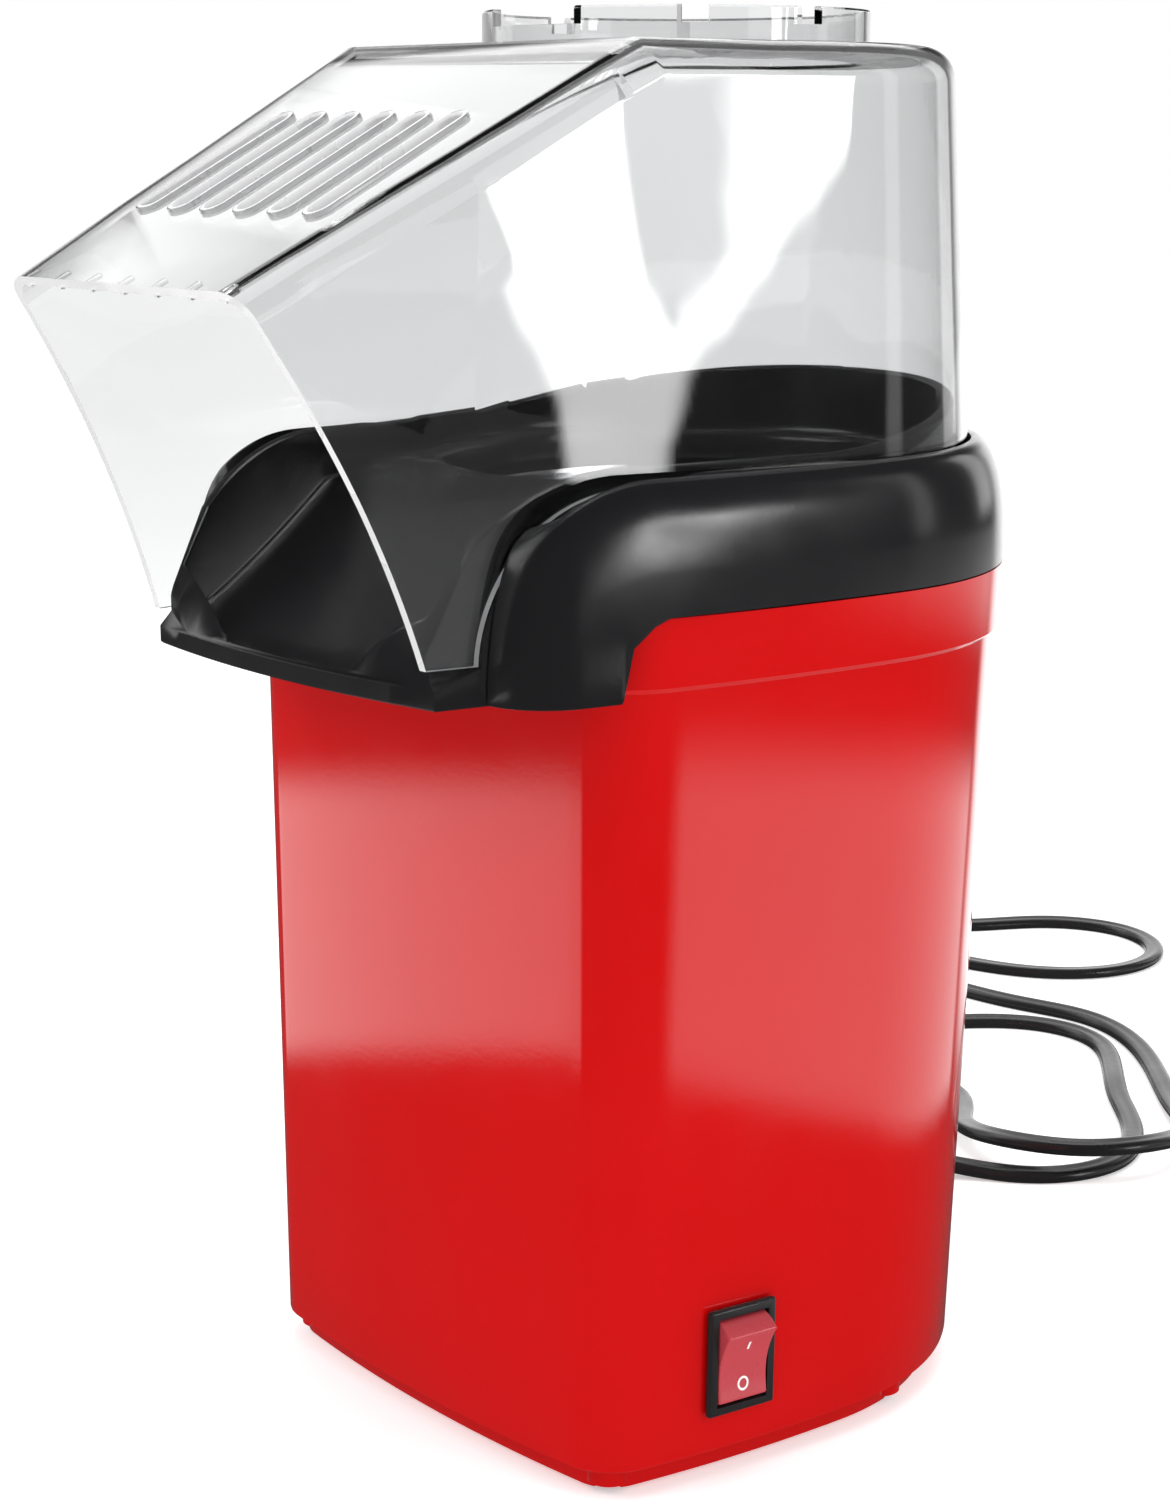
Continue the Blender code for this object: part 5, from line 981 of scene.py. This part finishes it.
def make_switch():
    frame_at = TO_ROW @ switch_matrix()
    thick, depth = 1.8 * MM, 15.0 * MM
    bezel = block((thick - GAP, 15.0 * MM, 21.0 * MM), (thick / 2.0 + GAP / 2.0, 0.0, 0.0), 0.6 * MM, 4)
    case = block((depth, *SWITCH_BOX), (-depth / 2.0 + 0.9 * MM, 0.0, 0.0), 0.4 * MM, 2)
    pocket = block((17.5 * MM, 11.4 * MM, 17.6 * MM), (1.25 * MM, 0.0, 0.0), 0.3 * MM, 2)
    mesh = carve(bezel, [(ADD, case), (CUT, pocket)], 30.0)
    piece("switch_case", mesh, "black_parts", nodes=("switch_body",), matrix=frame_at)
    r, width, throw = 8.5 * MM, 10.8 * MM, 22.0 * DEG
    high, low = 33.8 * DEG, -22.0 * DEG
    angles = [high + (low - high) * k / 24 for k in range(25)]
    top = [(r * sin(a), r * cos(a)) for a in angles]
    dip = []
    for k in range(-6, 7):
        t = k / 7.0
        dip.append((r * sin(high) - 1.5 * MM * (1.0 - t * t), -r * cos(high) * -t))
    profile = dip + top + [(x, -z) for x, z in reversed(top)]
    rocker = loft("rocker_cap", [[(x, y, z) for x, z in profile] for y in (-width / 2.0, width / 2.0)])
    rest = frame_at @ Matrix.Translation((-1.0 * MM, 0.0, 0.0)) @ Matrix.Rotation(throw / 2.0, 4, "Y")
    cap = piece("rocker_cap", rocker, "rocker_red", body="rocker", nodes=("rocker",), matrix=rest)
    soften(cap, 0.45 * MM, 3)
    face = r * sin(high)
    lift = 0.05 * MM

    def face_x(z):
        t = abs(z) / (r * cos(high))
        return face - 1.5 * MM * (1.0 - t * t) + lift

    bm = bmesh.new()
    rows = []
    for z in (3.2 * MM, 3.8 * MM, 4.4 * MM, 5.0 * MM):
        rows.append([bm.verts.new((face_x(z), y, z)) for y in (-0.2 * MM, 0.2 * MM)])
    for a, b in zip(rows, rows[1:]):
        bm.faces.new((a[0], a[1], b[1], b[0]))
    ring_z = -4.2 * MM
    rings = []
    for radius in (0.85 * MM, 1.25 * MM):
        rings.append([])
        for k in range(32):
            a = 2.0 * pi * k / 32
            y, z = radius * cos(a), ring_z + radius * 1.1 * sin(a)
            rings[-1].append(bm.verts.new((face_x(z), y, z)))
    for k in range(32):
        j = (k + 1) % 32
        bm.faces.new((rings[0][k], rings[0][j], rings[1][j], rings[1][k]))
    marks = plain_mesh(bm, "marks")
    printed = piece("rocker_marks", marks, "rocker_red", body="rocker", material=PRINT_WHITE, matrix=rest)
    shell = printed.modifiers.new("film", "SOLIDIFY")
    shell.thickness = 0.08 * MM
    shell.offset = 0.0


make_chamber()
make_switch()


# ---- floor, backdrop and light
def make_floor():
    """Pale sweep: white enough to melt into the backdrop, with a soft contact shadow."""
    bm = bmesh.new()
    bmesh.ops.create_grid(bm, x_segments=8, y_segments=8, size=4.0)
    mesh = mesh_of(bm, "floor")
    m, tree, shader = node_material("floor_white")
    tree.links.new(ramp(tree, noise(tree, 2.0), [(0.3, (0.90, 0.90, 0.90)), (0.7, (0.92, 0.92, 0.92))]),
                   shader.inputs["Base Color"])
    put(shader, {"Roughness": 0.8, "Specular IOR Level": 0.0})
    put(shader, {"Emission Color": (1.0, 1.0, 1.0, 1.0), "Emission Strength": 0.42})
    mesh.materials.append(m)
    floor = obj("floor", mesh)
    floor.visible_glossy = False


def inside(outline, az, z, soft=0.012):
    """1 inside a closed (azimuth, height) outline and 0 outside, with a soft edge."""
    crossings, near = 0, 1.0
    for (a, b), (c, d) in zip(outline, outline[1:] + outline[:1]):
        if (b > z) != (d > z) and az < a + (c - a) * (z - b) / (d - b):
            crossings += 1
        edge = Vector(((c - a) * DEG, d - b))
        off = Vector(((az - a) * DEG, z - b))
        t = min(max(off.dot(edge) / edge.length_squared, 0.0), 1.0)
        near = min(near, (off - edge * t).length)
    signed = near if crossings % 2 else -near
    return smoothstep(0.5 + signed / soft)


GLOW_DISTANCE = 1.0


def glow(name, azimuths, heights, strength, soft=(6.0, 0.05, 0.05), bow=0.0, shapes=None):
    """A curved softbox round the object that only gloss sees; azimuths in degrees from +X. Its
    lower edge rises by bow towards both ends. With shapes, it is the first outline less the second."""
    columns, rows = (64, 24) if shapes is None else (96, 96)
    bm = bmesh.new()
    grid, levels = [], []
    for i in range(columns + 1):
        az = azimuths[0] + (azimuths[1] - azimuths[0]) * i / columns
        line = []
        for j in range(rows + 1):
            z = heights[0] + (heights[1] - heights[0]) * j / rows
            x, y = GLOW_DISTANCE * cos(az * DEG), GLOW_DISTANCE * sin(az * DEG)
            line.append(bm.verts.new((x, y, z)))
            if shapes:
                levels.append(inside(shapes[0], az, z) * (1.0 - inside(shapes[1], az, z)))
                continue
            across = smoothstep((az - azimuths[0]) / soft[0]) * smoothstep((azimuths[1] - az) / soft[0])
            foot = heights[0] + bow * (2.0 * i / columns - 1.0) ** 2
            up = smoothstep((z - foot) / soft[1]) * smoothstep((heights[1] - z) / soft[2])
            levels.append(across * up)
        grid.append(line)
    for a, b in zip(grid, grid[1:]):
        for j in range(rows):
            bm.faces.new((a[j], b[j], b[j + 1], a[j + 1]))
    mesh = plain_mesh(bm, name)
    mesh.attributes.new("level", "FLOAT", "POINT").data.foreach_set("value", levels)
    m = bpy.data.materials.new(name)
    m.use_nodes = True
    tree = m.node_tree
    tree.nodes.clear()
    out = node(tree, "OutputMaterial")
    emission = node(tree, "Emission")
    level_node = node(tree, "Attribute")
    level_node.attribute_name = "level"
    times = node(tree, "Math")
    times.operation = "MULTIPLY"
    times.inputs[1].default_value = strength
    clear = node(tree, "BsdfTransparent")
    both = node(tree, "AddShader")
    tree.links.new(level_node.outputs["Fac"], times.inputs[0])
    tree.links.new(times.outputs[0], emission.inputs["Strength"])
    tree.links.new(emission.outputs[0], both.inputs[0])
    tree.links.new(clear.outputs[0], both.inputs[1])
    tree.links.new(both.outputs[0], out.inputs["Surface"])
    m.cycles.emission_sampling = "NONE"
    mesh.materials.append(m)
    card = obj(name, mesh)
    for ray in ("camera", "diffuse", "transmission", "volume_scatter", "shadow"):
        setattr(card, "visible_" + ray, False)


def area(name, place, target, size, power):
    light = bpy.data.lights.new(name, "AREA")
    light.shape = "RECTANGLE"
    light.size, light.size_y = size
    light.energy = power
    o = bpy.data.objects.new(name, light)
    bpy.context.scene.collection.objects.link(o)
    o.location = place
    o.rotation_mode = "QUATERNION"
    o.rotation_quaternion = (Vector(place) - Vector(target)).to_track_quat("Z", "Y")
    o.visible_glossy = False


def make_world():
    """White round the object. A first glossy bounce sees a much dimmer room, so that the softboxes
    show in it, and later ones, inside the clear edges, see a bright one."""
    world = bpy.data.worlds.new("studio")
    bpy.context.scene.world = world
    world.use_nodes = True
    tree = world.node_tree
    background = tree.nodes["Background"]
    background.inputs["Color"].default_value = (1.0, 1.0, 1.0, 1.0)
    path = node(tree, "LightPath")
    lit = spread(tree, path.outputs["Diffuse Depth"], 1.0, 0.72, 0.0, 1.0)
    dim = node(tree, "MapRange")
    dim.inputs["To Max"].default_value = 0.08
    tree.links.new(path.outputs["Glossy Depth"], dim.inputs["Value"])
    tree.links.new(lit, dim.inputs["To Min"])
    again = spread(tree, path.outputs["Glossy Depth"], 0.0, 0.8, 1.0, 2.0)
    brighter = node(tree, "Math")
    brighter.operation = "MAXIMUM"
    tree.links.new(dim.outputs["Result"], brighter.inputs[0])
    tree.links.new(again, brighter.inputs[1])
    tree.links.new(brighter.outputs[0], background.inputs["Strength"])


bpy.context.scene.view_settings.view_transform = "Standard"
make_world()
make_floor()
glow("front_glow", (-172.0, -92.0), (-0.262, -0.085), 1.35, (6.0, 0.02, 0.03))
glow("side_glow", (18.0, 100.0), (-0.318, -0.08), 1.15, (3.0, 0.02, 0.05), bow=0.03)
glow("rim_glow", (98.0, 150.0), (-0.30, 0.50), 1.8, (10.0, 0.12, 0.20))
glow("roof_glow", (138.0, 200.0), (0.20, 0.60), 0.8, (10.0, 0.05, 0.20))
glow("slope_glow", (110.0, 215.0), (0.62, 1.40), 2.2, (12.0, 0.10, 0.20))
glow("collar_glow", (30.0, 112.0), (-0.05, 0.10), 0.8, (20.0, 0.05, 0.08))
glow("hood_glow_right", (46.0, 58.0), (0.12, 0.80), 1.4, (4.0, 0.05, 0.10))
glow("hood_glow_back", (84.0, 100.0), (0.10, 0.70), 1.6, (3.0, 0.05, 0.10))
glow("hood_glow_left", (-176.0, -150.0), (0.10, 0.60), 1.6, (5.0, 0.08, 0.10))
fork = [  # outline of a forked softbox, as azimuths and heights, with a notch between its arms
    (17.0, 0.50), (15.5, 0.376), (15.2, 0.331), (15.8, 0.294), (15.2, 0.263), (17.4, 0.206),
    (18.3, 0.186), (19.2, 0.120), (22.1, 0.120), (22.3, 0.160), (23.2, 0.206), (25.4, 0.275),
    (27.2, 0.331), (29.7, 0.401), (33.0, 0.426), (34.0, 0.50),
]
notch = [(20.5, 0.426), (21.3, 0.338), (23.2, 0.243), (25.0, 0.306), (25.7, 0.426)]
glow("hood_glow_fork", (13.0, 36.0), (0.11, 0.48), 13.0, shapes=(fork, notch))
area("key", (-0.5, -0.9, 0.9), (0.0, 0.0, 0.10), (0.7, 0.7), 5.0)
area("side", (1.1, 0.3, 0.7), (0.0, 0.0, 0.12), (0.6, 0.9), 4.0)
area("top", (0.0, 0.1, 1.3), (0.0, 0.0, 0.1), (0.8, 0.8), 6.0)
